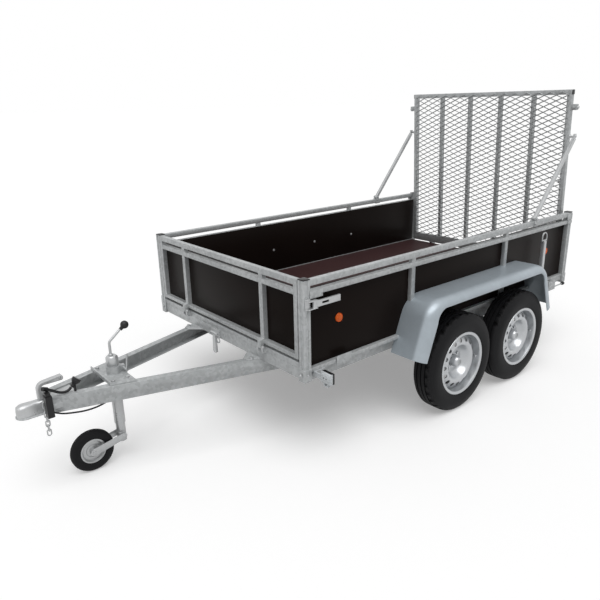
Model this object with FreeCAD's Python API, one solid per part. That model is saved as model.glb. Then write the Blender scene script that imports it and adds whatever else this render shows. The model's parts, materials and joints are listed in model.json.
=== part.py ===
"""Twin-axle box trailer: tipping bed, hinged front gate, mesh loading ramp, jockey wheel.

Millimetres. +X points forward to the coupling, +Y to the trailer's left, +Z up.
The ground is z = 0 and the origin is under the middle of the whole trailer.
"""
import FreeCAD
import Part
import math
import os

Vec = FreeCAD.Vector

# Fits
RUN_CLEARANCE = 0.05
SEAT_GAP = 0.3
MOVING_GAP = 5.0
PIN_SIDES = 12
EYE_SIDES = 16

# Load box
BOX_LENGTH = 2370.0
BOX_WIDTH = 1370.0
SIDE_HEIGHT = 385.0
FLOOR_TOP = 551.0
FLOOR_THICK = 12.0
BOARD_THICK = 12.0
BED_BEAM_HEIGHT = 30.0
BED_BEAM_WIDTH = 35.0
FLOOR_BEAM_WIDTH = 40.0
FLOOR_BEAM_BAYS = 3
POST = 40.0
POST_WALL = 3.0
POST_DROP = 57.0
GROOVE_WIDTH = 12.0
GROOVE_DEPTH = 4.0
FOOT_HEIGHT = 62.0
FOOT_WALL = 3.0
CAP_HEIGHT = 5.0
RAIL = 28.0
RAIL_GAP = 22.0
GUIDE_HEIGHT = 24.0
UPRIGHT_WIDTH = 28.0
UPRIGHT_DEPTH = 23.0
UPRIGHTS_FROM_REAR = (1628.0, 773.0)
LIP_HEIGHT = 18.0
LIP_DROP = 15.0
REFLECTOR_RADIUS = 22.0
REFLECTOR_THICK = 7.0
REFLECTOR_IN = (239.0, 258.0)
REFLECTOR_Z = 708.0

# Front gate
GATE_TUBE = 25.0
GATE_SILL = 20.0
GATE_UPRIGHT_IN = 273.0
GATE_HINGE_AHEAD = 12.0
GATE_HINGE_DROP = 10.0
GATE_EYE_RADIUS = 11.0
GATE_EYE_WIDTH = 24.0
GATE_PIN_RADIUS = 5.0
GATE_LUG = 9.0

# Loading ramp
RAMP_SIDE_GAP = 52.0
RAMP_HEIGHT = 1159.0
RAMP_BAR = 30.0
RAMP_RIB = 24.0
RAMP_BAYS = 5
RAMP_LEAN = 3.0
RAMP_HINGE_BEHIND = 16.0
RAMP_PIN_RADIUS = 7.0
RAMP_EYE_RADIUS = 14.0
RAMP_EYE_WIDTH = 28.0
RAMP_HINGE_IN = 163.0
RAMP_SILL_HEIGHT = 58.0
MESH_THICK = 3.0
MESH_STRAND = 7.0
MESH_EDGE = 12.0
DIAMOND_WIDTH = 158.0
DIAMOND_HEIGHT = 70.0

# Ramp stays
STAY_FROM_REAR = 465.0
STAY_TUBE = 20.0
STAY_STUD_DROP = 286.0
SPARE_STUD_DROP = 108.0
STUD_RADIUS = 8.0
STUD_LENGTH = 46.0
STAY_BOLT_RADIUS = 5.0
STAY_PIVOT_RISE = 16.0
STAY_EAR = 4.0
STAY_PLAY = 1.0
STAY_EAR_HALF = 12.0
STAY_EAR_SEAT = 3.0
STAY_BOLT_END = 3.0
STAY_CLAMP_HALF = 22.0
STAY_CLAMP_WALL = 4.0
STAY_SCREW_INSET = 6.0
STAY_SCREW_ENDS = (2.0, 12.0)
STAY_SCREW_RISE = 14.0
STAY_SCREW_RADIUS = 7.0
HOOK_THICK = 8.0
HOOK_TAIL = 26.0

# Prop stands at the rear corners
PROP_FROM_REAR = 368.0
PROP_TUBE = 24.0
PROP_SLEEVE = 4.0
PROP_SLEEVE_HEIGHT = 64.0
PROP_PLAY = 0.5
PROP_FOOT_Z = 262.0
PROP_LENGTH = 538.0
PROP_FOOT_REACH = 26.0
PROP_PLATE = 5.0
PROP_PLATE_SEAT = 10.0
PROP_PLATE_STEP = 26.0
PROP_PLATE_TAIL = 60.0
PROP_ARM_HALF = 16.0
PROP_ARM_GAP = 3.0
PROP_ARM_DROP = 20.0
PROP_SCREW_SEAT = 2.0
PROP_SCREW_LENGTH = 70.0
PROP_SCREW_RADIUS = 6.0
PROP_TEE_HALF = 26.0
PROP_TEE_RADIUS = 5.0
HANDLE_RADIUS = 30.0
HANDLE_BAR = 7.0
HANDLE_THICK = 8.0

# Tipping hinge and chassis
PIVOT_FROM_REAR = 570.0
PIVOT_DROP = 41.0
PIVOT_PIN_RADIUS = 10.0
PIVOT_EYE_RADIUS = 20.0
PIVOT_EYE_WIDTH = 12.0
PIVOT_LUG = 9.0
PIVOT_IN = 40.0
SIDE_RAIL_HEIGHT = 74.0
SIDE_RAIL_WIDTH = 40.0
CHANNEL_WALL = 4.0
CROSS_BEAM_WIDTH = 45.0
REAR_BEAM_HEIGHT = 60.0
REAR_BEAM_WIDTH = 50.0
REAR_BEAM_AHEAD = 60.0

# Drawbar and coupling
DRAWBAR_TOP = 458.0
DRAWBAR_HEIGHT = 75.0
DRAWBAR_FLANGE = 38.0
DRAWBAR_NOSE = 924.0
DRAWBAR_NOSE_HALF = 53.0
DRAWBAR_TAIL_GAP = 30.0
DRAWBAR_AXLE_GAP = 54.0
GUSSET_LENGTH = 62.0
GUSSET_THICK = 5.0
COUPLING_REACH = 146.0
COUPLING_TIP = DRAWBAR_NOSE + COUPLING_REACH
BALL_RADIUS = 25.4
CUP_RADIUS = 36.0
CUP_HEIGHT = 60.0
CUP_LIP = 386.0
LIP_FLANGE = 6.0
PRESSING = 4.0
NECK_LENGTH = 110.0
TROUGH_HALF = 18.0
TROUGH_HEIGHT = 34.0
NECK_PLATE = 6.0
LEVER_PIVOT = 43.0
LEVER_AHEAD = DRAWBAR_NOSE + LEVER_PIVOT
LEVER_FOOT = 38.0
LEVER_WIDTH = 26.0
LEVER_THICK = 15.0
LEVER_RISE = 79.0
LEVER_REACH = 116.0
LEVER_BEND = 34.0
LEVER_HOLE = 6.0
LEVER_SWEEP = 82
LEVER_TIP = 6.0
LEVER_LIFT = 8.0
LEVER_HEEL = 20.0
LEVER_HOLE_BACK = 14.0
LEVER_HOLE_DROP = 2.0
LEVER_SOLID = 26.0
LEVER_WALL = 4.0
LEVER_HOLLOW_RISE = 9.0

# Safety chain
CHAIN_REACH = 28.0
CHAIN_AHEAD = DRAWBAR_NOSE + CHAIN_REACH
CHAIN_Y = 48.0
CHAIN_TOP = 432.0
CHAIN_WIRE = 3.0
CHAIN_LINK_HALF = 18.0
CHAIN_BEND = 8.5
CHAIN_SLACK = 1.5
CHAIN_EYE_RADIUS = 3.0
CHAIN_EYE_RISE = 1.75
CHAIN_LINKS = 7
CHAIN_BEND_STEPS = 4
CHAIN_SIDES = 6

# Jockey wheel
JOCKEY_BACK = 308.0
JOCKEY_AHEAD = DRAWBAR_NOSE - JOCKEY_BACK
JOCKEY_OUTER_RADIUS = 26.0
JOCKEY_WALL = 3.5
JOCKEY_TUBE_SIDES = 24
JOCKEY_TUBE_TOP = 555.0
JOCKEY_TUBE_BOTTOM = 200.0
JOCKEY_HEAD_HEIGHT = 95.0
JOCKEY_HEAD_WALL = 2.5
JOCKEY_INNER_TOP = 330.0
JOCKEY_INNER_WALL = 4.0
JOCKEY_FOOT_TOP = 155.0
JOCKEY_SPIGOT_RADIUS = 12.0
JOCKEY_SPIGOT_LENGTH = 30.0
JOCKEY_PIVOT_Z = 135.0
JOCKEY_PIVOT_RADIUS = 8.0
JOCKEY_FOOT_DROP = 32.0
JOCKEY_TRAIL = 151.0
JOCKEY_WHEEL_RADIUS = 105.0
JOCKEY_WHEEL_WIDTH = 46.0
JOCKEY_RIM_RADIUS = 62.0
JOCKEY_ARM_THICK = 4.0
JOCKEY_ARM_GAP = 6.0
JOCKEY_SIDES = 28
BRACKET_FRONT = 66.0
BRACKET_REAR = 50.0
BRACKET_THICK = 6.0
COLLAR_WALL = 6.0
COLLAR_HEIGHT = 38.0
BRACKET_INSET = 8.0
BRACKET_TURN_UP = 12.0
COLLAR_SIDES = 16
HEX_SIDES = 6
RING_SIDES = 12
LUG_LENGTH = 24.0
LUG_SEAT = 4.0
LUG_HALF = 12.0
LUG_HEIGHT = 30.0
CLAMP_SCREW_BACK = 14.0
CLAMP_SCREW_RISE = 18.0
CLAMP_SCREW_ENDS = (-34.0, 44.0)
CLAMP_SCREW_RADIUS = 6.0
CLAMP_HANDLE_Y = 40.0
CLAMP_HANDLE_ENDS = (-22.0, 74.0)
CLAMP_HANDLE_LEAN = 14.0
CLAMP_HANDLE_RADIUS = 4.0
CRANK_RADIUS = 6.0
CRANK_RISE = 67.0
CRANK_REACH = 66.0
CRANK_LIFT = 54.0
KNOB_RADIUS = 20.0

# Wheels and axles
AXLES_FROM_REAR = (1346.0, 762.0)
TYRE_RADIUS = 283.0
TYRE_WIDTH = 140.0
TYRE_TREAD = 92.0
TYRE_SHOULDER = 21.0
TYRE_BEAD_WIDTH = 112.0
WHEEL_SIDES = 32
WHEEL_GAP = 5.0
RIM_SEAT = 170.0
RIM_FLANGE = 182.0
RIM_WALL = 7.0
VENT_COUNT = 16
VENT_RADIUS = 13.0
VENT_CIRCLE = 123.0
DISC_THICK = 6.0
HUB_RADIUS = 46.0
HUB_CAP_RADIUS = 32.0
HUB_BACK = -88.0
STUB_RADIUS = 15.0
STUB_BEYOND = 40.0
AXLE_TUBE = 60.0
AXLE_LEAD = 140.0
AXLE_RISE = 84.0
ARM_WIDTH = 26.0
ARM_OUT = 12.0
ARM_EYE_RADIUS = 34.0
ARM_HUB_RADIUS = 28.0

# Mudguards
GUARD_ABOVE_TYRE = 141.0
GUARD_AHEAD = 41.0
GUARD_FOOT_HALF = 662.0
GUARD_FOOT_Z = 420.0
GUARD_LEG_SLOPE = 45.0 / 122.0
GUARD_BEND = 135.0
GUARD_BEND_STEPS = 4
GUARD_ROLL = 34.0
GUARD_ROLL_STEPS = 3
GUARD_LIP_TOP = 42.0
GUARD_LIP_LEG = 74.0
GUARD_OUT = 20.0
GUARD_SHEET = 2.5

# Small fittings
LAMP_WIDTH = 64.0
LAMP_HEIGHT = 52.0
LAMP_DEPTH = 16.0
LAMP_OUT = 79.0
LAMP_AFT = 50.0
LAMP_DROP = 19.0
LAMP_RING_INSET = 18.0
LAMP_RING_DROP = 16.0
LAMP_WINDOW_INSET = 24.0
LAMP_WINDOW_DROP = 10.0
LAMP_ARM_THICK = 8.0
LAMP_ARM_SEAT = 6.0
LAMP_ARM_HEIGHT = 26.0
LAMP_FOOT_LENGTH = 60.0
LAMP_FOOT_THICK = 6.0
TAIL_LAMP = (42.0, 170.0, 66.0)
LATCH_REACH = 205.0
LATCH_Z = 825.0
LATCH_EDGE = 6.0
LATCH_PLATE = 4.0
LATCH_PLATE_HALF = 26.0
LATCH_EAR_START = 10.0
LATCH_EAR_PAST = 12.0
LATCH_EAR_OUT = 22.0
LATCH_EAR_HALF = 20.0
LATCH_BARREL_BACK = 14.0
LATCH_BARREL_OUT = 12.0
LATCH_BARREL_RADIUS = 10.0
LATCH_LEVER_OUT = (8.0, 18.0)
LATCH_LEVER_HALF = 15.0
LATCH_LEVER_WALL = 3.0
LATCH_HOLLOW_START = 16.0
LATCH_SLOT = (40.0, 80.0)
LATCH_SLOT_HALF = 5.0
LATCH_SLOT_DEPTH = 30.0
CATCH_PLATE_THICK = 8.0
CATCH_PLATE_SIDES = (-110.0, -30.0)
CATCH_PLATE_DROPS = (46.0, 3.0)
CATCH_HINGE_OUT = 14.0
CATCH_HINGE_ENDS = (-100.0, -38.0)
CATCH_HINGE_DROP = 26.0
CATCH_HINGE_RADIUS = 9.0
CATCH_BOLT_OUT = 12.0
CATCH_BOLT_ENDS = (-128.0, -84.0)
CATCH_BOLT_DROP = 40.0
CATCH_BOLT_RADIUS = 5.0
CATCH_PEAR = (-70.0, 124.0)
CATCH_PEAR_RADIUS = 17.0
CATCH_NECK = ((-58.0, 60.0), (-62.0, 20.0), (-78.0, 20.0), (-82.0, 60.0))
CATCH_LEVER_THICK = 12.0
CATCH_RING = (-44.0, 62.0)
CATCH_RING_RADIUS = 17.0
CATCH_RING_HOLE = 12.0
CATCH_RING_FACES = (6.0, 11.0)
CATCH_TIE_SIDES = (-60.0, -52.0)
CATCH_TIE_HALF = 4.0

# Lead, its plug and the cable along the drawbar
LEAD_RADIUS = 6.25
CABLE_RADIUS = 4.0
HOUSING_REACH = 30.0
HOUSING_AHEAD = DRAWBAR_NOSE + HOUSING_REACH
HOUSING_Y = 90.0
HOUSING_HALF = 19.0
HOUSING_BOTTOM = 392.0
HOUSING_TOP = 506.0
TAB_LENGTH = 30.0
TAB_BOTTOM = 424.0
TAB_TOP = 446.0
PLUG_NECK = 8.0
PLUG_FACE = 20.0
PLUG_LENGTH = 44.0
CORD_SIDES = 8
LEAD_ROUTE = ((940, 71, 512), (919, 63, 500), (896, 56.5, 480), (873, 53, 468),
              (853, 51, 466), (839, 50.5, 471), (831, 50, 480))
CABLE_ROUTE = ((931, 76, 401), (909, 70, 386), (882, 64, 371), (842, 64, 361), (797, 70, 355),
               (750, 76, 356), (706, 79, 364), (668, 80, 378), (634, 87, 392), (600, 101, 394.5))

# Hinge barrels behind the box and the coupling's tip ahead of it decide the middle
REAR_REACH = BOX_LENGTH + RAMP_HINGE_BEHIND + RAMP_EYE_RADIUS
FRONT_X = (REAR_REACH - COUPLING_TIP) / 2
REAR_X = FRONT_X - BOX_LENGTH
HALF = BOX_WIDTH / 2
INNER = HALF - POST

# Levels and lines that several pieces share
BED_TOP = FLOOR_TOP - FLOOR_THICK
BED_BOTTOM = BED_TOP - BED_BEAM_HEIGHT
POST_TOP = FLOOR_TOP + SIDE_HEIGHT
POST_FOOT = BED_BOTTOM - POST_DROP
RAIL_BOTTOM = POST_TOP - RAIL
GUIDE_TOP = RAIL_BOTTOM - RAIL_GAP
GUIDE_BOTTOM = GUIDE_TOP - GUIDE_HEIGHT
BOARD_OUT = HALF - RAIL
BOARD_IN = BOARD_OUT - BOARD_THICK
LIP_BOTTOM = BED_BOTTOM - LIP_DROP
LIP_TOP = LIP_BOTTOM + LIP_HEIGHT
UPRIGHT_OUT = BOARD_OUT + UPRIGHT_DEPTH
SIDE_RAIL_TOP = BED_BOTTOM - MOVING_GAP
SIDE_RAIL_BOTTOM = SIDE_RAIL_TOP - SIDE_RAIL_HEIGHT
SIDE_RAIL_OUT = BOARD_IN - MOVING_GAP
SIDE_RAIL_IN = SIDE_RAIL_OUT - SIDE_RAIL_WIDTH
PIVOT_STATION = BOX_LENGTH - PIVOT_FROM_REAR
PIVOT_Z = BED_BOTTOM - PIVOT_DROP
PIVOT_Y = SIDE_RAIL_IN - PIVOT_IN
AXLE_STATIONS = [BOX_LENGTH - distance for distance in AXLES_FROM_REAR]
WHEEL_Y = UPRIGHT_OUT + WHEEL_GAP + TYRE_WIDTH / 2
DRAWBAR_TAIL_STATION = AXLE_STATIONS[0] - AXLE_LEAD - AXLE_TUBE / 2 - DRAWBAR_AXLE_GAP
DRAWBAR_SPREAD = ((SIDE_RAIL_IN - DRAWBAR_TAIL_GAP - DRAWBAR_NOSE_HALF)
                  / (DRAWBAR_NOSE + DRAWBAR_TAIL_STATION))
GATE_HALF = INNER - MOVING_GAP
GATE_LOW = FLOOR_TOP + MOVING_GAP
GATE_UPRIGHT_Y = GATE_HALF - GATE_UPRIGHT_IN
GATE_HINGE_Z = FLOOR_TOP - GATE_HINGE_DROP
RAMP_HALF = HALF - RAMP_SIDE_GAP
RAMP_HINGE_X = REAR_X - RAMP_HINGE_BEHIND
RAMP_HINGE_Z = BED_BOTTOM + BED_BEAM_HEIGHT / 2
RAMP_HINGE_YS = (RAMP_HINGE_IN - RAMP_HALF, 0.0, RAMP_HALF - RAMP_HINGE_IN)
RAMP_BACK_X = REAR_X + 4.0
RAMP_FRONT_X = RAMP_BACK_X + RAMP_BAR
RAMP_LOW = FLOOR_TOP + 8.0
RAMP_TOP = RAMP_LOW + RAMP_HEIGHT
STAY_STATION = BOX_LENGTH - STAY_FROM_REAR
STAY_STUD_Z = RAMP_TOP - STAY_STUD_DROP
STAY_PIVOT_Z = POST_TOP + STAY_PIVOT_RISE
STAY_Y = BOARD_OUT + RAIL / 2
PROP_STATION = BOX_LENGTH - PROP_FROM_REAR
PROP_TOP_Z = PROP_FOOT_Z + PROP_LENGTH
PROP_CLAMP_Z = LIP_BOTTOM - 42.0
PROP_Y = UPRIGHT_OUT + 8.0 + PROP_TUBE / 2
GUARD_TOP = 2 * TYRE_RADIUS + GUARD_ABOVE_TYRE
GUARD_OUTER_Y = WHEEL_Y + TYRE_WIDTH / 2 + GUARD_OUT
CUP_TOP = CUP_LIP + CUP_HEIGHT
CUP_X = COUPLING_TIP - CUP_RADIUS
JOCKEY_INNER_RADIUS = JOCKEY_OUTER_RADIUS - JOCKEY_WALL - RUN_CLEARANCE


def aft(distance):
    """x of a point this far behind the box's front plane."""
    return FRONT_X - distance


def ahead(distance):
    """x of a point this far ahead of the box's front plane."""
    return FRONT_X + distance


def block(x0, x1, y0, y1, z0, z1):
    low = Vec(min(x0, x1), min(y0, y1), min(z0, z1))
    return Part.makeBox(abs(x1 - x0), abs(y1 - y0), abs(z1 - z0), low)


def rod(start, end, radius):
    """A round pin or bar."""
    run = Vec(*end) - Vec(*start)
    return Part.makeCylinder(radius, run.Length, Vec(*start), run)


def cross_rod(x, y0, y1, z, radius):
    """A round pin or bar across the trailer."""
    return rod((x, y0, z), (x, y1, z), radius)


def pin(x, y0, y1, z, radius):
    """A hinge pin across the trailer, with flat sides whose edges lie on the radius."""
    return flat_bar((x, y0, z), (x, y1, z), radius * math.cos(math.pi / PIN_SIDES), PIN_SIDES)


def polygon(points):
    return Part.makePolygon([Vec(*p) for p in points] + [Vec(*points[0])])


def ring_points(radius, sides):
    """Corners of a regular outline whose flat sides touch the radius."""
    reach = radius / math.cos(math.pi / sides)
    turns = [2 * math.pi * (index + 0.5) / sides for index in range(sides)]
    return [(reach * math.cos(turn), reach * math.sin(turn)) for turn in turns]


def flat_bar(start, end, radius, sides=8):
    """A straight bar whose flat sides touch its radius."""
    run = Vec(*end) - Vec(*start)
    turn = FreeCAD.Rotation(Vec(0, 0, 1), run)
    corners = [turn.multVec(Vec(x, y, 0)) + Vec(*start) for x, y in ring_points(radius, sides)]
    return Part.Face(polygon(corners)).extrude(run)


def side_plate(outline, y0, y1):
    """A plate whose outline is drawn in X and Z, from y0 to y1."""
    face = Part.Face(polygon([(x, y0, z) for x, z in outline]))
    return face.extrude(Vec(0, y1 - y0, 0))


def flat_plate(outline, z0, z1):
    """A plate whose outline is drawn in X and Y, from z0 to z1."""
    face = Part.Face(polygon([(x, y, z0) for x, y in outline]))
    return face.extrude(Vec(0, 0, z1 - z0))


def flat_faces(corners):
    """One face through four corners, or two where they don't lie in a plane."""
    a, b, c, d = corners
    kept = [p for k, p in enumerate(corners) if p.distanceToPoint(corners[k - 1]) > 1e-6]
    if len(kept) < 3:
        return []
    if len(kept) == 3 or abs((b - a).cross(c - a).dot(d - a)) < 1e-4:
        return [Part.Face(polygon(kept))]
    return [Part.Face(polygon([a, b, c])), Part.Face(polygon([a, c, d]))]


def skin(sections, closed):
    """A solid through like sections, whose points are joined in turn by flat faces."""
    faces = []
    count, size = len(sections), len(sections[0])
    for index in range(count if closed else count - 1):
        here, there = sections[index], sections[(index + 1) % count]
        for k in range(size):
            other = (k + 1) % size
            faces += flat_faces([here[k], there[k], there[other], here[other]])
    if not closed:
        faces += [Part.Face(polygon(sections[0])), Part.Face(polygon(sections[-1]))]
    solid = Part.makeSolid(Part.makeShell(faces))
    if solid.Volume < 0:
        solid.reverse()
    return solid


def faceted(profile, origin, axis, sides):
    """A closed profile of (radius, distance along the axis), turned round it in flat sides."""
    sections = []
    for cos_part, sin_part in ring_points(1.0, sides):
        sections.append([Vec(r * cos_part, r * sin_part, a) for r, a in profile])
    ring = skin(sections, True)
    ring.Placement = FreeCAD.Placement(Vec(*origin), FreeCAD.Rotation(Vec(0, 0, 1), Vec(*axis)))
    return ring


def arc_points(centre, radius, first, last, steps):
    """Points on an arc in a plane, in degrees, both ends included."""
    turns = [math.radians(first + (last - first) * k / steps) for k in range(steps + 1)]
    return [(centre[0] + radius * math.cos(t), centre[1] + radius * math.sin(t)) for t in turns]


def fuse(shapes):
    return shapes[0].multiFuse(shapes[1:]).removeSplitter()


def group(shapes):
    return Part.makeCompound(shapes)


def other_side(shape):
    return shape.mirror(Vec(0, 0, 0), Vec(0, 1, 0))


def both_sides(shape):
    return group([shape, other_side(shape)])


def save(name, shape):
    shape.exportStep("parts/" + name + ".step")
    print(name, "solids", len(shape.Solids), "valid", shape.isValid())


def drawbar_y(x, inset=0.0):
    """Outer line of the left drawbar beam in plan, less an inset."""
    return DRAWBAR_NOSE_HALF + DRAWBAR_SPREAD * (ahead(DRAWBAR_NOSE) - x) - inset


def drawbar_strip(x_front, x_rear, inset_out, inset_in, z0, z1):
    """A strip that runs along the left beam between two insets from its outer line."""
    slope = math.sqrt(1 + DRAWBAR_SPREAD ** 2)
    out, into = inset_out * slope, inset_in * slope
    outline = [(x_front, drawbar_y(x_front, out)), (x_rear, drawbar_y(x_rear, out)),
               (x_rear, drawbar_y(x_rear, into)), (x_front, drawbar_y(x_front, into))]
    return flat_plate(outline, z0, z1)


def drawbar():
    """Channel beam, open towards the middle of the trailer."""
    nose, tail = ahead(DRAWBAR_NOSE), aft(DRAWBAR_TAIL_STATION)
    top, bottom = DRAWBAR_TOP, DRAWBAR_TOP - DRAWBAR_HEIGHT
    web = drawbar_strip(nose, tail, 0, CHANNEL_WALL, bottom, top)
    upper = drawbar_strip(nose, tail, 0, DRAWBAR_FLANGE, top - CHANNEL_WALL, top)
    lower = drawbar_strip(nose, tail, 0, DRAWBAR_FLANGE, bottom, bottom + CHANNEL_WALL)
    return fuse([web, upper, lower])


def left_drawbar():
    """Left beam, with the welded tab that carries the lead's housing ahead of its nose."""
    nose = ahead(DRAWBAR_NOSE)
    back = ahead(HOUSING_AHEAD) - HOUSING_HALF
    tab = block(nose - TAB_LENGTH, back, drawbar_y(nose) - 1, HOUSING_Y + HOUSING_HALF / 2,
                TAB_BOTTOM, TAB_TOP)
    return fuse([drawbar(), tab])


def side_rail():
    """Left chassis rail, a channel open towards the middle."""
    front, rear = aft(CROSS_BEAM_WIDTH + MOVING_GAP), aft(PIVOT_STATION - REAR_BEAM_AHEAD)
    web = block(front, rear, SIDE_RAIL_OUT - CHANNEL_WALL, SIDE_RAIL_OUT,
                SIDE_RAIL_BOTTOM, SIDE_RAIL_TOP)
    upper = block(front, rear, SIDE_RAIL_IN, SIDE_RAIL_OUT,
                  SIDE_RAIL_TOP - CHANNEL_WALL, SIDE_RAIL_TOP)
    lower = block(front, rear, SIDE_RAIL_IN, SIDE_RAIL_OUT,
                  SIDE_RAIL_BOTTOM, SIDE_RAIL_BOTTOM + CHANNEL_WALL)
    return fuse([web, upper, lower])


def front_cross_beam():
    """Beam on the drawbars that the bed rests on, with a gusset plate over each of them."""
    front, rear = aft(MOVING_GAP), aft(MOVING_GAP + CROSS_BEAM_WIDTH)
    reach = INNER - 6
    pieces = [block(front, rear, -reach, reach, DRAWBAR_TOP, BED_BOTTOM)]
    tip = front + GUSSET_LENGTH
    for side in (1, -1):
        outline = [(front - 1, side * drawbar_y(front)), (tip, side * drawbar_y(tip)),
                   (tip, side * drawbar_y(tip, DRAWBAR_FLANGE)),
                   (front - 1, side * drawbar_y(front, 3 * DRAWBAR_FLANGE))]
        pieces.append(flat_plate(outline, DRAWBAR_TOP, DRAWBAR_TOP + GUSSET_THICK))
    return fuse(pieces)


def centre_cross_beam():
    """Lies on the drawbar's tails, between the side rails."""
    rear = aft(DRAWBAR_TAIL_STATION)
    return block(rear, rear + CROSS_BEAM_WIDTH, -SIDE_RAIL_IN, SIDE_RAIL_IN,
                 DRAWBAR_TOP, SIDE_RAIL_TOP)


def rear_cross_beam():
    """Box beam between the side rails, with an eye at each end for the tipping pins."""
    rear = aft(PIVOT_STATION - REAR_BEAM_AHEAD)
    pivot = aft(PIVOT_STATION)
    pieces = [block(rear, rear + REAR_BEAM_WIDTH, -SIDE_RAIL_IN, SIDE_RAIL_IN,
                    SIDE_RAIL_BOTTOM, SIDE_RAIL_BOTTOM + REAR_BEAM_HEIGHT)]
    bores = []
    half = PIVOT_EYE_WIDTH / 2
    for y in (PIVOT_Y, -PIVOT_Y):
        pieces.append(block(rear, pivot, y - half, y + half, PIVOT_Z - PIVOT_EYE_RADIUS,
                            PIVOT_Z + PIVOT_EYE_RADIUS))
        pieces.append(flat_bar((pivot, y - half, PIVOT_Z), (pivot, y + half, PIVOT_Z),
                               PIVOT_EYE_RADIUS, EYE_SIDES))
        bores.append(cross_rod(pivot, y - half - 1, y + half + 1, PIVOT_Z,
                               PIVOT_PIN_RADIUS + RUN_CLEARANCE))
    return fuse(pieces).cut(group(bores))


def axle(station):
    """Torsion tube with seats under the side rails, trailing arms and stub axles."""
    hub_x, tube_x = aft(station), aft(station - AXLE_LEAD)
    tube_z = TYRE_RADIUS + AXLE_RISE
    half = AXLE_TUBE / 2
    arm_out = SIDE_RAIL_OUT + ARM_OUT
    arm_in = arm_out - ARM_WIDTH
    lean = math.atan2(AXLE_RISE, AXLE_LEAD)
    nx, nz = math.sin(lean), math.cos(lean)
    outline = [(tube_x - ARM_EYE_RADIUS * nx, tube_z + ARM_EYE_RADIUS * nz),
               (tube_x + ARM_EYE_RADIUS * nx, tube_z - ARM_EYE_RADIUS * nz),
               (hub_x + ARM_HUB_RADIUS * nx, TYRE_RADIUS - ARM_HUB_RADIUS * nz),
               (hub_x - ARM_HUB_RADIUS * nx, TYRE_RADIUS + ARM_HUB_RADIUS * nz)]
    pieces = [block(tube_x - half, tube_x + half, -arm_in, arm_in, tube_z - half, tube_z + half)]
    for side in (1, -1):
        inside, outside = side * arm_in, side * arm_out
        pieces.append(block(tube_x - 2 * half, tube_x + 2 * half, side * SIDE_RAIL_IN,
                            side * (arm_in - 1), tube_z + half - 1, SIDE_RAIL_BOTTOM))
        pieces.append(flat_bar((tube_x, inside, tube_z), (tube_x, outside, tube_z),
                               ARM_EYE_RADIUS, EYE_SIDES))
        pieces.append(flat_bar((hub_x, inside, TYRE_RADIUS), (hub_x, outside, TYRE_RADIUS),
                               ARM_HUB_RADIUS, EYE_SIDES))
        pieces.append(side_plate(outline, inside, outside))
        pieces.append(cross_rod(hub_x, inside, side * (WHEEL_Y + STUB_BEYOND), TYRE_RADIUS,
                                STUB_RADIUS))
    return fuse(pieces)


def tyre(station, side):
    """Tyre section turned about the axle, hollow where the rim sits."""
    half, tread, bead = TYRE_WIDTH / 2, TYRE_TREAD / 2, TYRE_BEAD_WIDTH / 2
    shoulder = TYRE_RADIUS - TYRE_SHOULDER
    wall = (RIM_SEAT + TYRE_RADIUS) / 2
    bulge = half - 4
    near = RIM_SEAT + 22
    side_half = [(RIM_SEAT, bead), (near, bulge), (wall, half), (shoulder, bulge),
                 (TYRE_RADIUS, tread)]
    profile = [(r, -a) for r, a in side_half] + side_half[::-1]
    return faceted(profile, (aft(station), side * WHEEL_Y, TYRE_RADIUS), (0, side, 0), WHEEL_SIDES)


def barrel_profile():
    """Section of the wheel's barrel with its two flanges."""
    bead = TYRE_BEAD_WIDTH / 2
    edge = bead + 6
    seat, inside = RIM_SEAT - SEAT_GAP, RIM_SEAT - RIM_WALL
    return [(inside, -edge - 3), (RIM_FLANGE, -edge), (seat, -bead), (seat, bead),
            (RIM_FLANGE, edge), (inside, edge + 3)]


def disc_profile():
    """Section of the dished disc: a flat bowl, the raised ring of the vents and a lip."""
    hole, bowl = HUB_CAP_RADIUS + 2, VENT_CIRCLE - 34
    crown, rim_edge = VENT_CIRCLE + 15, RIM_SEAT - RIM_WALL + 1
    back = -DISC_THICK - 3
    return [(hole, back), (bowl, back), (crown, 24), (rim_edge, 6), (rim_edge, 6 + DISC_THICK),
            (crown + 2, 24 + DISC_THICK), (bowl - 2, back + DISC_THICK), (hole, back + DISC_THICK)]


def rim(station, side):
    """Pressed wheel with a ring of round vents, and the hub that turns on the stub axle."""
    place, axis = (aft(station), side * WHEEL_Y, TYRE_RADIUS), (0, side, 0)
    disc = faceted(disc_profile(), place, axis, VENT_COUNT)
    vents = []
    for index in range(VENT_COUNT):
        turn = 2 * math.pi * index / VENT_COUNT
        x = place[0] + VENT_CIRCLE * math.cos(turn)
        z = place[2] + VENT_CIRCLE * math.sin(turn)
        vents.append(flat_bar((x, place[1] - side * 5, z), (x, place[1] + side * 45, z),
                              VENT_RADIUS, 6))
    wheel = fuse([faceted(barrel_profile(), place, axis, WHEEL_SIDES), disc.cut(group(vents))])
    bore = STUB_RADIUS + RUN_CLEARANCE
    cap, drum, back = HUB_CAP_RADIUS, HUB_RADIUS, -DISC_THICK - 3 - SEAT_GAP
    hub = faceted([(bore, HUB_BACK), (drum, HUB_BACK), (drum, back), (cap, back), (cap, 34),
                   (cap - 8, STUB_BEYOND + 2), (bore, STUB_BEYOND + 2)], place, axis, EYE_SIDES)
    return group([wheel, hub])


def coupling_section(x, half, top, bottom):
    """Section of the pressed head across the trailer: upright sides and a crowned top."""
    outline = [(-half, bottom), (-half, top - 16), (-0.72 * half, top - 5), (-0.3 * half, top),
               (0.3 * half, top), (0.72 * half, top - 5), (half, top - 16), (half, bottom)]
    return [Vec(ahead(x), y, z) for y, z in outline]


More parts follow.
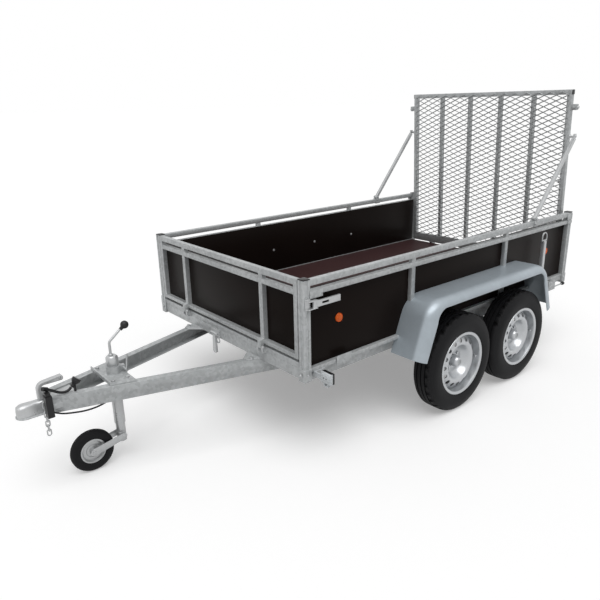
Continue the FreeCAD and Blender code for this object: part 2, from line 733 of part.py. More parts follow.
def coupling_head():
    """Pressed ball head: crowned nose with a flanged lip, hollow below, and a bolted neck."""
    top, low = CUP_TOP, CUP_LIP
    nose = [(COUPLING_TIP - LIP_FLANGE, 10, top - 20), (CUP_X + 26, 22, top - 8),
            (CUP_X + 12, 28, top - 2), (CUP_X, 30, top), (CUP_X - 24, 28, top),
            (CUP_X - 48, 24, top), (LEVER_AHEAD - LEVER_FOOT - SEAT_GAP, 24, top),
            (DRAWBAR_NOSE + SEAT_GAP, 26, top + 4), (DRAWBAR_NOSE, 26, top + 4),
            (DRAWBAR_NOSE - NECK_LENGTH, 26, top + 4)]
    floor = DRAWBAR_TOP - DRAWBAR_HEIGHT + CHANNEL_WALL
    body = skin([coupling_section(x, half, crown, floor if x <= DRAWBAR_NOSE else low)
                 for x, half, crown in nose], False)
    nose_x = ahead(CUP_X)
    plan = arc_points((nose_x, 0), CUP_RADIUS, -90, 90, 8)
    plan += [(ahead(DRAWBAR_NOSE) + 6, 30), (ahead(DRAWBAR_NOSE) + 6, -30)]
    flange = flat_plate(plan, low, low + PRESSING)
    neck_tail, tip = ahead(DRAWBAR_NOSE - NECK_LENGTH), ahead(DRAWBAR_NOSE)
    inset = CHANNEL_WALL * math.sqrt(1 + DRAWBAR_SPREAD ** 2)
    outline = [(tip, drawbar_y(tip, inset)), (neck_tail, drawbar_y(neck_tail, inset)),
               (neck_tail, -drawbar_y(neck_tail, inset)), (tip, -drawbar_y(tip, inset))]
    ceiling = DRAWBAR_TOP - CHANNEL_WALL
    plates = [flat_plate(outline, floor, floor + NECK_PLATE),
              flat_plate(outline, ceiling - NECK_PLATE, ceiling)]
    eye_z = CHAIN_TOP + CHAIN_LINK_HALF - CHAIN_WIRE - CHAIN_BEND + CHAIN_EYE_RISE
    eye = flat_bar((ahead(CHAIN_AHEAD), 6, eye_z), (ahead(CHAIN_AHEAD), CHAIN_Y + 7, eye_z),
                   CHAIN_EYE_RADIUS)
    equator = low + BALL_RADIUS
    mouth = rod((nose_x, 0, low - 1), (nose_x, 0, equator), BALL_RADIUS)
    dome = []
    for turn in (20, 45, 70):
        share, rise = math.cos(math.radians(turn)), math.sin(math.radians(turn))
        height = equator - 1 if not dome else equator + BALL_RADIUS * rise
        dome.append([Vec(nose_x + x * share, y * share, height)
                     for x, y in ring_points(BALL_RADIUS, EYE_SIDES)])
    crown = skin(dome, False)
    trough = block(ahead(DRAWBAR_NOSE - NECK_LENGTH) - 1, nose_x - BALL_RADIUS - 2 * PRESSING,
                   -TROUGH_HALF, TROUGH_HALF, low - 1, low + TROUGH_HEIGHT)
    return fuse([body, flange, eye] + plates).cut(mouth).cut(crown).cut(trough)


def coupling_lever():
    """Curved locking handle on top of the coupling."""
    base, low, high = ahead(LEVER_AHEAD), CUP_TOP, CUP_TOP + LEVER_RISE
    bend, thick = LEVER_BEND, LEVER_THICK
    centre = (base - bend, high - bend)
    outer = arc_points(centre, bend, 0, LEVER_SWEEP, 5)
    inner = arc_points(centre, bend - thick, LEVER_SWEEP, 0, 4)
    end = base - LEVER_REACH
    grip = [(end + LEVER_TIP, high + LEVER_LIFT), (end, high + LEVER_LIFT - LEVER_TIP),
            (end, high - thick + LEVER_TIP), (end + LEVER_TIP, high - thick)]
    foot = [(base - LEVER_BEND, low + LEVER_HEEL), (base - LEVER_FOOT, low), (base, low)]
    lever = side_plate(outer + grip + inner + foot, -LEVER_WIDTH / 2, LEVER_WIDTH / 2)
    hole_x, hole_z = end + LEVER_HOLE_BACK, high - LEVER_HOLE_DROP
    hole = flat_bar((hole_x, -LEVER_WIDTH, hole_z), (hole_x, LEVER_WIDTH, hole_z), LEVER_HOLE)
    side = LEVER_WIDTH / 2 - LEVER_WALL
    hollow = block(end + LEVER_SOLID, base - bend, -side, side, low, high - thick + LEVER_HOLLOW_RISE)
    return lever.cut(hole).cut(hollow)


def jockey_bracket():
    """Plate across the drawbar with turned-up ends and the clamp round the outer tube."""
    centre = ahead(JOCKEY_AHEAD)
    front, rear = centre + BRACKET_FRONT, centre - BRACKET_REAR
    top = DRAWBAR_TOP + BRACKET_THICK
    front_y, rear_y = drawbar_y(front, BRACKET_INSET), drawbar_y(rear, BRACKET_INSET)
    outline = [(front, front_y), (rear, rear_y), (rear, -rear_y), (front, -front_y)]
    reach = JOCKEY_OUTER_RADIUS + COLLAR_WALL
    pieces = [flat_plate(outline, DRAWBAR_TOP, top)]
    pieces.append(block(front, front - BRACKET_THICK, -front_y, front_y,
                        DRAWBAR_TOP, top + BRACKET_TURN_UP))
    pieces.append(flat_bar((centre, 0, DRAWBAR_TOP), (centre, 0, top + COLLAR_HEIGHT), reach,
                           COLLAR_SIDES))
    pieces.append(block(centre - reach - LUG_LENGTH, centre - reach + LUG_SEAT, -LUG_HALF, LUG_HALF,
                        DRAWBAR_TOP, top + LUG_HEIGHT))
    screw_x, screw_z = centre - reach - CLAMP_SCREW_BACK, top + CLAMP_SCREW_RISE
    near, far = CLAMP_SCREW_ENDS
    pieces.append(flat_bar((screw_x, near, screw_z), (screw_x, far, screw_z),
                           CLAMP_SCREW_RADIUS, HEX_SIDES))
    low, high = CLAMP_HANDLE_ENDS
    pieces.append(flat_bar((screw_x, CLAMP_HANDLE_Y, screw_z + low),
                           (screw_x - CLAMP_HANDLE_LEAN, CLAMP_HANDLE_Y, screw_z + high),
                           CLAMP_HANDLE_RADIUS, HEX_SIDES))
    bore = flat_bar((centre, 0, DRAWBAR_TOP - 1), (centre, 0, top + COLLAR_HEIGHT + 1),
                    JOCKEY_OUTER_RADIUS + RUN_CLEARANCE, JOCKEY_TUBE_SIDES)
    return fuse(pieces).cut(bore)


def jockey_outer_tube():
    """Outer tube with its wider head, closed by the crank bearing at the top."""
    outer, inner = JOCKEY_OUTER_RADIUS, JOCKEY_OUTER_RADIUS - JOCKEY_WALL
    low, top = JOCKEY_TUBE_BOTTOM, JOCKEY_TUBE_TOP
    head = outer + JOCKEY_HEAD_WALL
    neck = top - JOCKEY_HEAD_HEIGHT + COLLAR_HEIGHT + 2 * BRACKET_THICK
    profile = [(inner, low), (outer, low), (outer, neck), (head, neck + 2), (head, top - 10),
               (head - 8, top), (CRANK_RADIUS, top), (CRANK_RADIUS, top - 12), (inner, top - 12)]
    return faceted(profile, (ahead(JOCKEY_AHEAD), 0, 0), (0, 0, 1), JOCKEY_TUBE_SIDES)


def crank_points():
    """Bottom, bend and upper end of the crank rod."""
    centre, low = ahead(JOCKEY_AHEAD), JOCKEY_TUBE_TOP - 12
    bend = JOCKEY_TUBE_TOP + CRANK_RISE
    return (centre, 0, low), (centre, 0, bend), (centre - CRANK_REACH, 0, bend + CRANK_LIFT)


def jockey_crank():
    """Bent crank rod on top of the tube."""
    low, bend, top = crank_points()
    radius = (CRANK_RADIUS - RUN_CLEARANCE) * math.cos(math.pi / CORD_SIDES)
    collar = flat_bar((low[0], 0, JOCKEY_TUBE_TOP), (low[0], 0, JOCKEY_TUBE_TOP + 8), 11)
    lean = math.atan2(CRANK_LIFT, CRANK_REACH)
    past = (bend[0] + radius * math.cos(lean) * 0.4, 0, bend[2] - radius * math.sin(lean) * 0.4)
    return fuse([flat_bar(low, (bend[0], 0, bend[2] + radius * 0.4), radius), collar,
                 flat_bar(past, top, radius)])


def crank_knob():
    """Round knob on the crank's upper end."""
    bend, top = crank_points()[1:]
    axis = (top[0] - bend[0], 0, top[2] - bend[2])
    hole, r = CRANK_RADIUS, KNOB_RADIUS
    profile = [(0, 2), (hole * 0.9, 0), (0.7 * r, 4), (r, 0.9 * r), (0.92 * r, 1.4 * r),
               (0.5 * r, 1.9 * r), (0, 2 * r)]
    return faceted(profile, top, axis, 12)


def jockey_inner_tube():
    """Sliding tube inside the outer one, with the bearing of the turning foot at its end."""
    radius, inside = JOCKEY_INNER_RADIUS, JOCKEY_INNER_RADIUS - JOCKEY_INNER_WALL
    bore = JOCKEY_SPIGOT_RADIUS + RUN_CLEARANCE
    low = JOCKEY_FOOT_TOP + RUN_CLEARANCE
    shelf = JOCKEY_FOOT_TOP + JOCKEY_SPIGOT_LENGTH + 5
    profile = [(bore, low), (radius, low), (radius, JOCKEY_INNER_TOP), (inside, JOCKEY_INNER_TOP),
               (inside, shelf), (bore, shelf)]
    return faceted(profile, (ahead(JOCKEY_AHEAD), 0, 0), (0, 0, 1), JOCKEY_TUBE_SIDES)


def jockey_fork():
    """Turning foot under the inner tube, with the two flat arms to the wheel."""
    centre = ahead(JOCKEY_AHEAD)
    top, pivot_z, axle_z = JOCKEY_FOOT_TOP, JOCKEY_PIVOT_Z, JOCKEY_WHEEL_RADIUS
    foot = flat_bar((centre, 0, pivot_z - JOCKEY_FOOT_DROP), (centre, 0, top),
                    JOCKEY_INNER_RADIUS, 16)
    spigot = rod((centre, 0, top - 1), (centre, 0, top + JOCKEY_SPIGOT_LENGTH),
                 JOCKEY_SPIGOT_RADIUS)
    arm_in = JOCKEY_WHEEL_WIDTH / 2 + JOCKEY_ARM_GAP
    arm_out = arm_in + JOCKEY_ARM_THICK
    hub_x = centre + JOCKEY_TRAIL
    pieces = [foot, spigot]
    outline = arc_points((centre, pivot_z), 16, 75, 255, 4) + arc_points((hub_x, axle_z), 19,
                                                                        -105, 75, 5)
    for side in (1, -1):
        pieces.append(side_plate(outline, side * arm_in, side * arm_out))
    pin = JOCKEY_PIVOT_RADIUS
    pieces.append(flat_bar((centre, -arm_out - 3, pivot_z), (centre, arm_out + 3, pivot_z), pin, 6))
    pieces.append(cross_rod(hub_x, -arm_out - 4, arm_out + 4, axle_z, pin))
    return fuse(pieces)


def jockey_tyre():
    """Solid rubber tyre of the jockey wheel."""
    half, outer, seat = JOCKEY_WHEEL_WIDTH / 2, JOCKEY_WHEEL_RADIUS, JOCKEY_RIM_RADIUS
    side_half = [(seat, half - 6), (seat + 20, half), (outer - 6, half - 5), (outer, 11)]
    profile = [(r, -a) for r, a in side_half] + side_half[::-1]
    return faceted(profile, (ahead(JOCKEY_AHEAD) + JOCKEY_TRAIL, 0, outer), (0, 1, 0), JOCKEY_SIDES)


def jockey_rim():
    """Pressed rim of the jockey wheel, dished on both sides of its hub."""
    bore = JOCKEY_PIVOT_RADIUS + RUN_CLEARANCE
    half, seat = JOCKEY_WHEEL_WIDTH / 2, JOCKEY_RIM_RADIUS - SEAT_GAP
    side_half = [(bore, half + 3), (17, half + 3), (19, 8), (seat - 14, 8), (seat - 8, half - 5),
                 (seat, half - 6)]
    profile = [(r, -a) for r, a in side_half] + side_half[::-1]
    return faceted(profile, (ahead(JOCKEY_AHEAD) + JOCKEY_TRAIL, 0, JOCKEY_WHEEL_RADIUS),
                   (0, 1, 0), JOCKEY_SIDES)


def bed_frame():
    """Beams under the floor, and the lugs and pins of the tipping hinge."""
    beams = []
    for front in (POST - BED_BEAM_WIDTH, BOX_LENGTH - POST):
        beams.append(block(aft(front), aft(front + BED_BEAM_WIDTH), -INNER, INNER,
                           BED_BOTTOM, BED_TOP))
    half = FLOOR_BEAM_WIDTH / 2
    for index in range(FLOOR_BEAM_BAYS):
        middle = aft(PIVOT_STATION * (index + 1) / FLOOR_BEAM_BAYS)
        beams.append(block(middle - half, middle + half, -BOARD_IN, BOARD_IN, BED_BOTTOM, BED_TOP))
    rail = PIVOT_Y - PIVOT_EYE_WIDTH / 2 - PIVOT_LUG - MOVING_GAP
    for side in (1, -1):
        beams.append(block(aft(POST), aft(BOX_LENGTH - POST), side * (rail - FLOOR_BEAM_WIDTH),
                           side * rail, BED_BOTTOM, BED_TOP))
    pivot, eye = aft(PIVOT_STATION), PIVOT_EYE_WIDTH / 2 + 1
    for y in (PIVOT_Y, -PIVOT_Y):
        for near in (y - eye - PIVOT_LUG, y + eye):
            beams.append(block(pivot - 18, pivot + 18, near, near + PIVOT_LUG, PIVOT_Z, BED_TOP - 1))
            beams.append(flat_bar((pivot, near, PIVOT_Z), (pivot, near + PIVOT_LUG, PIVOT_Z), 18))
        reach = eye + PIVOT_LUG + MOVING_GAP
        beams.append(pin(pivot, y - reach, y + reach, PIVOT_Z, PIVOT_PIN_RADIUS))
    return fuse(beams)


def floor_board():
    return block(aft(POST), aft(BOX_LENGTH - POST), -BOARD_IN, BOARD_IN, BED_TOP, FLOOR_TOP)


def post_outline(x, side):
    """Square outline of a post with a groove down each of its two outer faces."""
    out = 1 if x > 0 else -1
    reach, into = POST / 2, POST / 2 - GROOVE_DEPTH
    half = GROOVE_WIDTH / 2
    corner = [(reach, half), (into, half), (into, -half), (reach, -half), (reach, -reach)]
    shape = [(half, reach), (reach, reach)] + corner + [(-reach, -reach), (-reach, reach),
                                                        (-half, reach), (-half, into), (half, into)]
    centre_x, centre_y = x, side * (HALF - POST / 2)
    return [(centre_x + out * u, centre_y + side * v) for u, v in shape]


def corner_posts():
    """Grooved posts of the box, hollow, each in a foot bracket below the floor frame."""
    posts = []
    for x in (FRONT_X - POST / 2, REAR_X + POST / 2):
        for side in (1, -1):
            centre_y = side * (HALF - POST / 2)
            shell = flat_plate(post_outline(x, side), POST_FOOT + FOOT_WALL, POST_TOP)
            half = POST / 2 - GROOVE_DEPTH - POST_WALL
            core = block(x - half, x + half, centre_y - half, centre_y + half,
                         POST_FOOT + 2 * FOOT_WALL, POST_TOP)
            out = 1 if x > 0 else -1
            wide = POST / 2 + FOOT_WALL
            foot = block(x + out * wide, x - out * POST / 2, centre_y - side * POST / 2,
                         centre_y + side * wide, POST_FOOT, POST_FOOT + FOOT_HEIGHT)
            well = block(x + out * POST / 2, x - out * wide, centre_y - side * wide,
                         centre_y + side * POST / 2, POST_FOOT + FOOT_WALL,
                         POST_FOOT + FOOT_HEIGHT + 1)
            posts.append(fuse([shell.cut(core), foot.cut(well)]))
    return group(posts)


def post_caps():
    caps = []
    for x in (FRONT_X, REAR_X + POST):
        for side in (1, -1):
            caps.append(block(x, x - POST, side * INNER, side * HALF, POST_TOP,
                              POST_TOP + CAP_HEIGHT))
    return group(caps)


def side_board():
    return block(aft(POST), aft(BOX_LENGTH - POST), BOARD_IN, BOARD_OUT, LIP_TOP, GUIDE_TOP)


def side_frame():
    """Guide rail, uprights and lower lip outside the board, in one welded piece."""
    front, rear = aft(POST), aft(BOX_LENGTH - POST)
    pieces = [block(front, rear, BOARD_OUT, HALF, GUIDE_BOTTOM, GUIDE_TOP),
              block(front, rear, BOARD_IN, UPRIGHT_OUT, LIP_BOTTOM, LIP_TOP)]
    for distance in UPRIGHTS_FROM_REAR:
        x = REAR_X + distance
        pieces.append(block(x - UPRIGHT_WIDTH / 2, x + UPRIGHT_WIDTH / 2,
                            BOARD_OUT, UPRIGHT_OUT, LIP_TOP, RAIL_BOTTOM))
    return fuse(pieces)


def top_rail():
    return block(aft(POST), aft(BOX_LENGTH - POST), BOARD_OUT, HALF, RAIL_BOTTOM, POST_TOP)


def tail_lamp():
    """Lamp cluster under the bed's rear left corner, lens to the rear."""
    depth, width, height = TAIL_LAMP
    y1 = INNER - MOVING_GAP
    return block(REAR_X + 2, REAR_X + 2 + depth, y1 - width, y1, BED_BOTTOM - height, BED_BOTTOM)


def reflectors():
    """Round side reflectors on the boards, and the tail lamps with theirs."""
    pieces = []
    for x in (aft(REFLECTOR_IN[0]), REAR_X + REFLECTOR_IN[1]):
        pieces.append(flat_bar((x, BOARD_OUT, REFLECTOR_Z), (x, BOARD_OUT + REFLECTOR_THICK, REFLECTOR_Z),
                               REFLECTOR_RADIUS, 16))
    pieces.append(tail_lamp())
    return both_sides(group(pieces))


def gate_frame():
    """Front gate's tubes, with an eye under each upright for the hinge pins."""
    front, rear = FRONT_X, FRONT_X - GATE_TUBE
    half, low = GATE_HALF, GATE_LOW
    pieces = [block(front, rear, -half, half, RAIL_BOTTOM, POST_TOP),
              block(front, rear, -half, half, GUIDE_BOTTOM, GUIDE_TOP),
              block(front, rear, -half, half, low, low + GATE_SILL)]
    spots = [(-half, -half + GATE_TUBE), (half - GATE_TUBE, half)]
    for y in (GATE_UPRIGHT_Y, -GATE_UPRIGHT_Y):
        spots.append((y - UPRIGHT_WIDTH / 2, y + UPRIGHT_WIDTH / 2))
    for near, far in spots:
        pieces.append(block(front, rear, near, far, low, POST_TOP))
    hinge_x, eye, wide = ahead(GATE_HINGE_AHEAD), GATE_EYE_RADIUS, GATE_EYE_WIDTH / 2
    outline = [(hinge_x - eye, GATE_HINGE_Z), (hinge_x + eye, GATE_HINGE_Z),
               (hinge_x + eye, low + GATE_SILL), (front - 4, low + GATE_SILL + 10), (front - 4, low),
               (hinge_x - eye, low)]
    bores = []
    for y in (GATE_UPRIGHT_Y, -GATE_UPRIGHT_Y):
        pieces.append(side_plate(outline, y - wide, y + wide))
        pieces.append(flat_bar((hinge_x, y - wide, GATE_HINGE_Z), (hinge_x, y + wide, GATE_HINGE_Z),
                               eye, EYE_SIDES))
        bores.append(cross_rod(hinge_x, y - wide - 1, y + wide + 1, GATE_HINGE_Z,
                               GATE_PIN_RADIUS + RUN_CLEARANCE))
    return fuse(pieces).cut(group(bores))


def gate_board():
    rear = FRONT_X - GATE_TUBE
    return block(rear, rear - BOARD_THICK, -GATE_HALF, GATE_HALF, GATE_LOW, GUIDE_TOP)


def gate_hinges():
    """Brackets on the bed's front beam that hold the gate's hinge pins."""
    hinge_x, low = ahead(GATE_HINGE_AHEAD), BED_BOTTOM
    back = aft(POST - BED_BEAM_WIDTH)
    gap = GATE_EYE_WIDTH / 2 + 1
    brackets = []
    for y in (GATE_UPRIGHT_Y, -GATE_UPRIGHT_Y):
        reach = gap + GATE_LUG + 3
        pieces = [block(back, ahead(-1), y - reach, y + reach, low, BED_TOP - 12),
                  pin(hinge_x, y - reach, y + reach, GATE_HINGE_Z, GATE_PIN_RADIUS)]
        outline = [(back, low)] + [(hinge_x + 2, low), (hinge_x + 9, low + 10)]
        outline += arc_points((hinge_x, GATE_HINGE_Z), 9, 0, 180, 4)
        outline += [(back, GATE_HINGE_Z - 4)]
        for near in (y - gap - GATE_LUG, y + gap):
            pieces.append(side_plate(outline, near, near + GATE_LUG))
        brackets.append(fuse(pieces))
    return group(brackets)


def ramp_place(shape):
    """Leans a ramp piece forward about its hinge."""
    shape.rotate(Vec(RAMP_HINGE_X, 0, RAMP_HINGE_Z), Vec(0, 1, 0), RAMP_LEAN)
    return shape


def ramp_frame():
    """Tubes of the ramp, the plate along its foot and its hinge eyes."""
    half, low, top = RAMP_HALF, RAMP_LOW, RAMP_TOP
    pieces = [block(RAMP_BACK_X, RAMP_FRONT_X, -half, half, top - RAMP_BAR, top),
              block(RAMP_BACK_X, RAMP_FRONT_X, -half, half, low, low + RAMP_SILL_HEIGHT)]
    for side in (1, -1):
        pieces.append(block(RAMP_BACK_X, RAMP_FRONT_X, side * (half - RAMP_BAR), side * half, low, top))
    bay = (2 * half - RAMP_BAR) / RAMP_BAYS
    for index in range(1, RAMP_BAYS):
        y = -half + RAMP_BAR / 2 + bay * index
        pieces.append(block(RAMP_BACK_X, RAMP_FRONT_X - 2, y - RAMP_RIB / 2, y + RAMP_RIB / 2,
                            low, top - 1))
    hinge_x, eye, wide = RAMP_HINGE_X, RAMP_EYE_RADIUS, RAMP_EYE_WIDTH / 2
    outline = [(hinge_x - eye, RAMP_HINGE_Z), (hinge_x + 6, RAMP_HINGE_Z),
               (RAMP_FRONT_X - 12, low + 2), (RAMP_FRONT_X - 12, low + 26), (hinge_x - eye, low + 26)]
    bores = []
    for y in RAMP_HINGE_YS:
        pieces.append(flat_bar((hinge_x, y - wide, RAMP_HINGE_Z), (hinge_x, y + wide, RAMP_HINGE_Z),
                               eye, 12))
        pieces.append(side_plate(outline, y - wide, y + wide))
        bores.append(rod((hinge_x, y - wide - 1, RAMP_HINGE_Z), (hinge_x, y + wide + 1, RAMP_HINGE_Z),
                         RAMP_PIN_RADIUS + RUN_CLEARANCE))
    return ramp_place(fuse(pieces).cut(group(bores)))


def ramp_studs():
    """Studs on the ramp's sides that its stays hook onto, each on a small base."""
    x = RAMP_BACK_X + RAMP_BAR / 2
    studs = []
    for side in (1, -1):
        base, near, far = (side * (RAMP_HALF + step) for step in (0, 4, STUD_LENGTH))
        for z in (STAY_STUD_Z, RAMP_TOP - SPARE_STUD_DROP):
            studs.append(fuse([flat_bar((x, near, z), (x, far, z), STUD_RADIUS),
                               block(x - 13, x + 13, base, near, z - 16, z + 16)]))
    return ramp_place(group(studs))


def ramp_mesh():
    """Expanded metal on the ramp's inner face, cut as staggered diamonds."""
    half = RAMP_HALF - 6
    low, high = RAMP_LOW + RAMP_SILL_HEIGHT - 6, RAMP_TOP - 6
    clear_y, clear_z = half - MESH_EDGE, (high - low) / 2 - MESH_EDGE
    step = DIAMOND_HEIGHT / 2
    rows = int(2 * clear_z / step) - 1
    middle = (low + high) / 2
    columns = round(2 * clear_y / DIAMOND_WIDTH)
    pitch = 2 * clear_y / columns
    reach_y, reach_z = pitch / 2 - MESH_STRAND, step - MESH_STRAND
    x = RAMP_FRONT_X
    holes = []
    for row in range(rows):
        z = middle + step * (row - (rows - 1) / 2)
        odd = row % 2
        for column in range(columns - odd):
            y = pitch * (column - (columns - odd - 1) / 2)
            holes.append(polygon([(x, y - reach_y, z), (x, y, z + reach_z),
                                  (x, y + reach_y, z), (x, y, z - reach_z)]))
        for side in (1, -1) if odd else ():
            edge_y, rise = side * clear_y, side * reach_z
            holes.append(polygon([(x, edge_y, z + rise), (x, edge_y, z - rise),
                                  (x, side * (clear_y - reach_y), z)]))
    edge = polygon([(RAMP_FRONT_X, -half, low), (RAMP_FRONT_X, half, low),
                    (RAMP_FRONT_X, half, high), (RAMP_FRONT_X, -half, high)])
    sheet = Part.Face([edge] + holes).extrude(Vec(MESH_THICK, 0, 0))
    return ramp_place(sheet)


def ramp_hinges():
    """Lugs and pins on the bed's rear beam that carry the ramp."""
    hinge_x, wide = RAMP_HINGE_X, RAMP_EYE_WIDTH / 2 + 3
    lug = 10.0
    outline = [(REAR_X + POST - BED_BEAM_WIDTH, BED_BOTTOM), (hinge_x, BED_BOTTOM)]
    outline += arc_points((hinge_x, RAMP_HINGE_Z), 12, -100, -260, 5)
    outline += [(REAR_X + POST - BED_BEAM_WIDTH, BED_TOP - 3)]
    lugs = []
    for y in RAMP_HINGE_YS:
        pieces = [pin(hinge_x, y - wide - lug - 3, y + wide + lug + 3, RAMP_HINGE_Z,
                      RAMP_PIN_RADIUS)]
        for near in (y - wide - lug, y + wide):
            pieces.append(side_plate(outline, near, near + lug))
        lugs.append(fuse(pieces))
    return group(lugs)


def lean_point(x, z):
    """Where a point of the upright ramp lies once the ramp leans on its stop."""
    angle = math.radians(RAMP_LEAN)
    dx, dz = x - RAMP_HINGE_X, z - RAMP_HINGE_Z
    return (RAMP_HINGE_X + dx * math.cos(angle) + dz * math.sin(angle),
            RAMP_HINGE_Z - dx * math.sin(angle) + dz * math.cos(angle))


def stay_clamp():
    """Clamp on the top rail with two ears and the stay's pivot bolt."""
    x, ear = aft(STAY_STATION), STAY_EAR
    half, wall = STAY_CLAMP_HALF, STAY_CLAMP_WALL
    clamp = block(x - half, x + half, BOARD_OUT - wall, HALF + wall, RAIL_BOTTOM - wall, POST_TOP + wall)
    clamp = clamp.cut(block(x - half - 1, x + half + 1, BOARD_OUT, HALF, RAIL_BOTTOM, POST_TOP))
    pieces = [clamp]
    inside = STAY_TUBE / 2 + STAY_PLAY
    outside = inside + ear
    outline = [(x - STAY_EAR_HALF, POST_TOP + STAY_EAR_SEAT), (x + STAY_EAR_HALF, POST_TOP + STAY_EAR_SEAT)]
    outline += arc_points((x, STAY_PIVOT_Z), STAY_EAR_HALF, 0, 180, 5)
    for near in (STAY_Y - outside, STAY_Y + inside):
        pieces.append(side_plate(outline, near, near + ear))
    pieces.append(pin(x, STAY_Y - outside - STAY_BOLT_END, STAY_Y + outside + STAY_BOLT_END,
                      STAY_PIVOT_Z, STAY_BOLT_RADIUS))
    screw_x, screw_z = x + half - STAY_SCREW_INSET, RAIL_BOTTOM + STAY_SCREW_RISE
    near, far = STAY_SCREW_ENDS
    pieces.append(flat_bar((screw_x, HALF + near, screw_z), (screw_x, HALF + far, screw_z),
                           STAY_SCREW_RADIUS, HEX_SIDES))
    return fuse(pieces)


def stay_hook():
    """Flat hook on the strut's upper end, which lies over the ramp's stud from ahead."""
    stud_x, stud_z = lean_point(RAMP_BACK_X + RAMP_BAR / 2, STAY_STUD_Z)
    gap, half = STUD_RADIUS / math.cos(math.pi / 8) + SEAT_GAP, HOOK_THICK / 2
    hook = block(stud_x - 12, stud_x + gap + HOOK_THICK, STAY_Y - half, STAY_Y + half,
                 stud_z - HOOK_TAIL, stud_z + gap + HOOK_THICK)
    return hook.cut(block(stud_x - 40, stud_x + gap, STAY_Y - half - 1, STAY_Y + half + 1,
                          stud_z - 40, stud_z + gap))


def stay():
    """Straight strut between the clamp on the top rail and its hook."""
    x = aft(STAY_STATION)
    stud_x, stud_z = lean_point(RAMP_BACK_X + RAMP_BAR / 2, STAY_STUD_Z)
    length = math.hypot(stud_x - x, stud_z - STAY_PIVOT_Z)
    angle = math.atan2(stud_z - STAY_PIVOT_Z, stud_x - x)
    half = STAY_TUBE / 2
    end = length - STUD_RADIUS - MOVING_GAP - 1
    strut = block(0, end, -half, half, -half, half)
    eye = flat_bar((0, -half, 0), (0, half, 0), half + 1, 12)
    bore = cross_rod(0, -half - 1, half + 1, 0, STAY_BOLT_RADIUS + RUN_CLEARANCE)
    bar = fuse([strut, eye]).cut(bore)
    bar.rotate(Vec(0, 0, 0), Vec(0, 1, 0), -math.degrees(angle))
    bar.translate(Vec(x, STAY_Y, STAY_PIVOT_Z))
    return bar.cut(stay_hook())


def prop():
    """Square prop leg with a foot and a D-shaped handle on top."""
    x, half, top = aft(PROP_STATION), PROP_TUBE / 2, PROP_TOP_Z
    leg = block(x - half, x + half, PROP_Y - half, PROP_Y + half, PROP_FOOT_Z, top)
    reach = PROP_FOOT_REACH
    foot = block(x - reach, x + reach, PROP_Y - 18, PROP_Y + 18, PROP_FOOT_Z - PROP_PLATE, PROP_FOOT_Z)
    outer, inner, thick = HANDLE_RADIUS, HANDLE_RADIUS - HANDLE_BAR, HANDLE_THICK / 2
    rise = top + outer - 4
    outline = [(x + outer, top)] + arc_points((x, rise), outer, 0, 180, 8) + [(x - outer, top)]
    window = [(x + inner, top + HANDLE_BAR)] + arc_points((x, rise), inner, 0, 180, 8)
    window += [(x - inner, top + HANDLE_BAR)]
    handle = side_plate(outline, PROP_Y - thick, PROP_Y + thick)
    handle = handle.cut(side_plate(window, PROP_Y - thick - 1, PROP_Y + thick + 1))
    return fuse([leg, foot, handle])


def prop_clamp():
    """Sleeve round the prop leg, carried by an arm from the bed, with its screw."""
    x, half = aft(PROP_STATION), PROP_TUBE / 2 + PROP_PLAY
    out = half + PROP_SLEEVE
    low, high = PROP_CLAMP_Z - PROP_SLEEVE_HEIGHT / 2, PROP_CLAMP_Z + PROP_SLEEVE_HEIGHT / 2
    sleeve = block(x - out, x + out, PROP_Y - out, PROP_Y + out, low, high)
    arm_low, step = PROP_CLAMP_Z - PROP_ARM_DROP, LIP_BOTTOM - PROP_PLATE_STEP
    arm = block(x - PROP_ARM_HALF, x + PROP_ARM_HALF, BOARD_IN, PROP_Y - half - PROP_ARM_GAP,
                arm_low, LIP_BOTTOM)
    rear, seat = REAR_X + POST + MOVING_GAP, x - PROP_PLATE_SEAT
    outline = [(seat, LIP_BOTTOM), (rear, LIP_BOTTOM), (rear, step), (rear + PROP_PLATE_TAIL, step),
               (x - PROP_ARM_HALF, arm_low), (seat, arm_low)]
    plate = side_plate(outline, UPRIGHT_OUT - PROP_PLATE, UPRIGHT_OUT)
    well = block(x - half, x + half, PROP_Y - half, PROP_Y + half, low - 1, high + 1)
    screw_end = x - half - PROP_SCREW_LENGTH
    screw = flat_bar((x - half - PROP_SCREW_SEAT, PROP_Y, PROP_CLAMP_Z),
                     (screw_end, PROP_Y, PROP_CLAMP_Z), PROP_SCREW_RADIUS)
    tee = flat_bar((screw_end, PROP_Y - PROP_TEE_HALF, PROP_CLAMP_Z),
                   (screw_end, PROP_Y + PROP_TEE_HALF, PROP_CLAMP_Z), PROP_TEE_RADIUS)
    return fuse([sleeve, arm, plate, screw, tee]).cut(well)


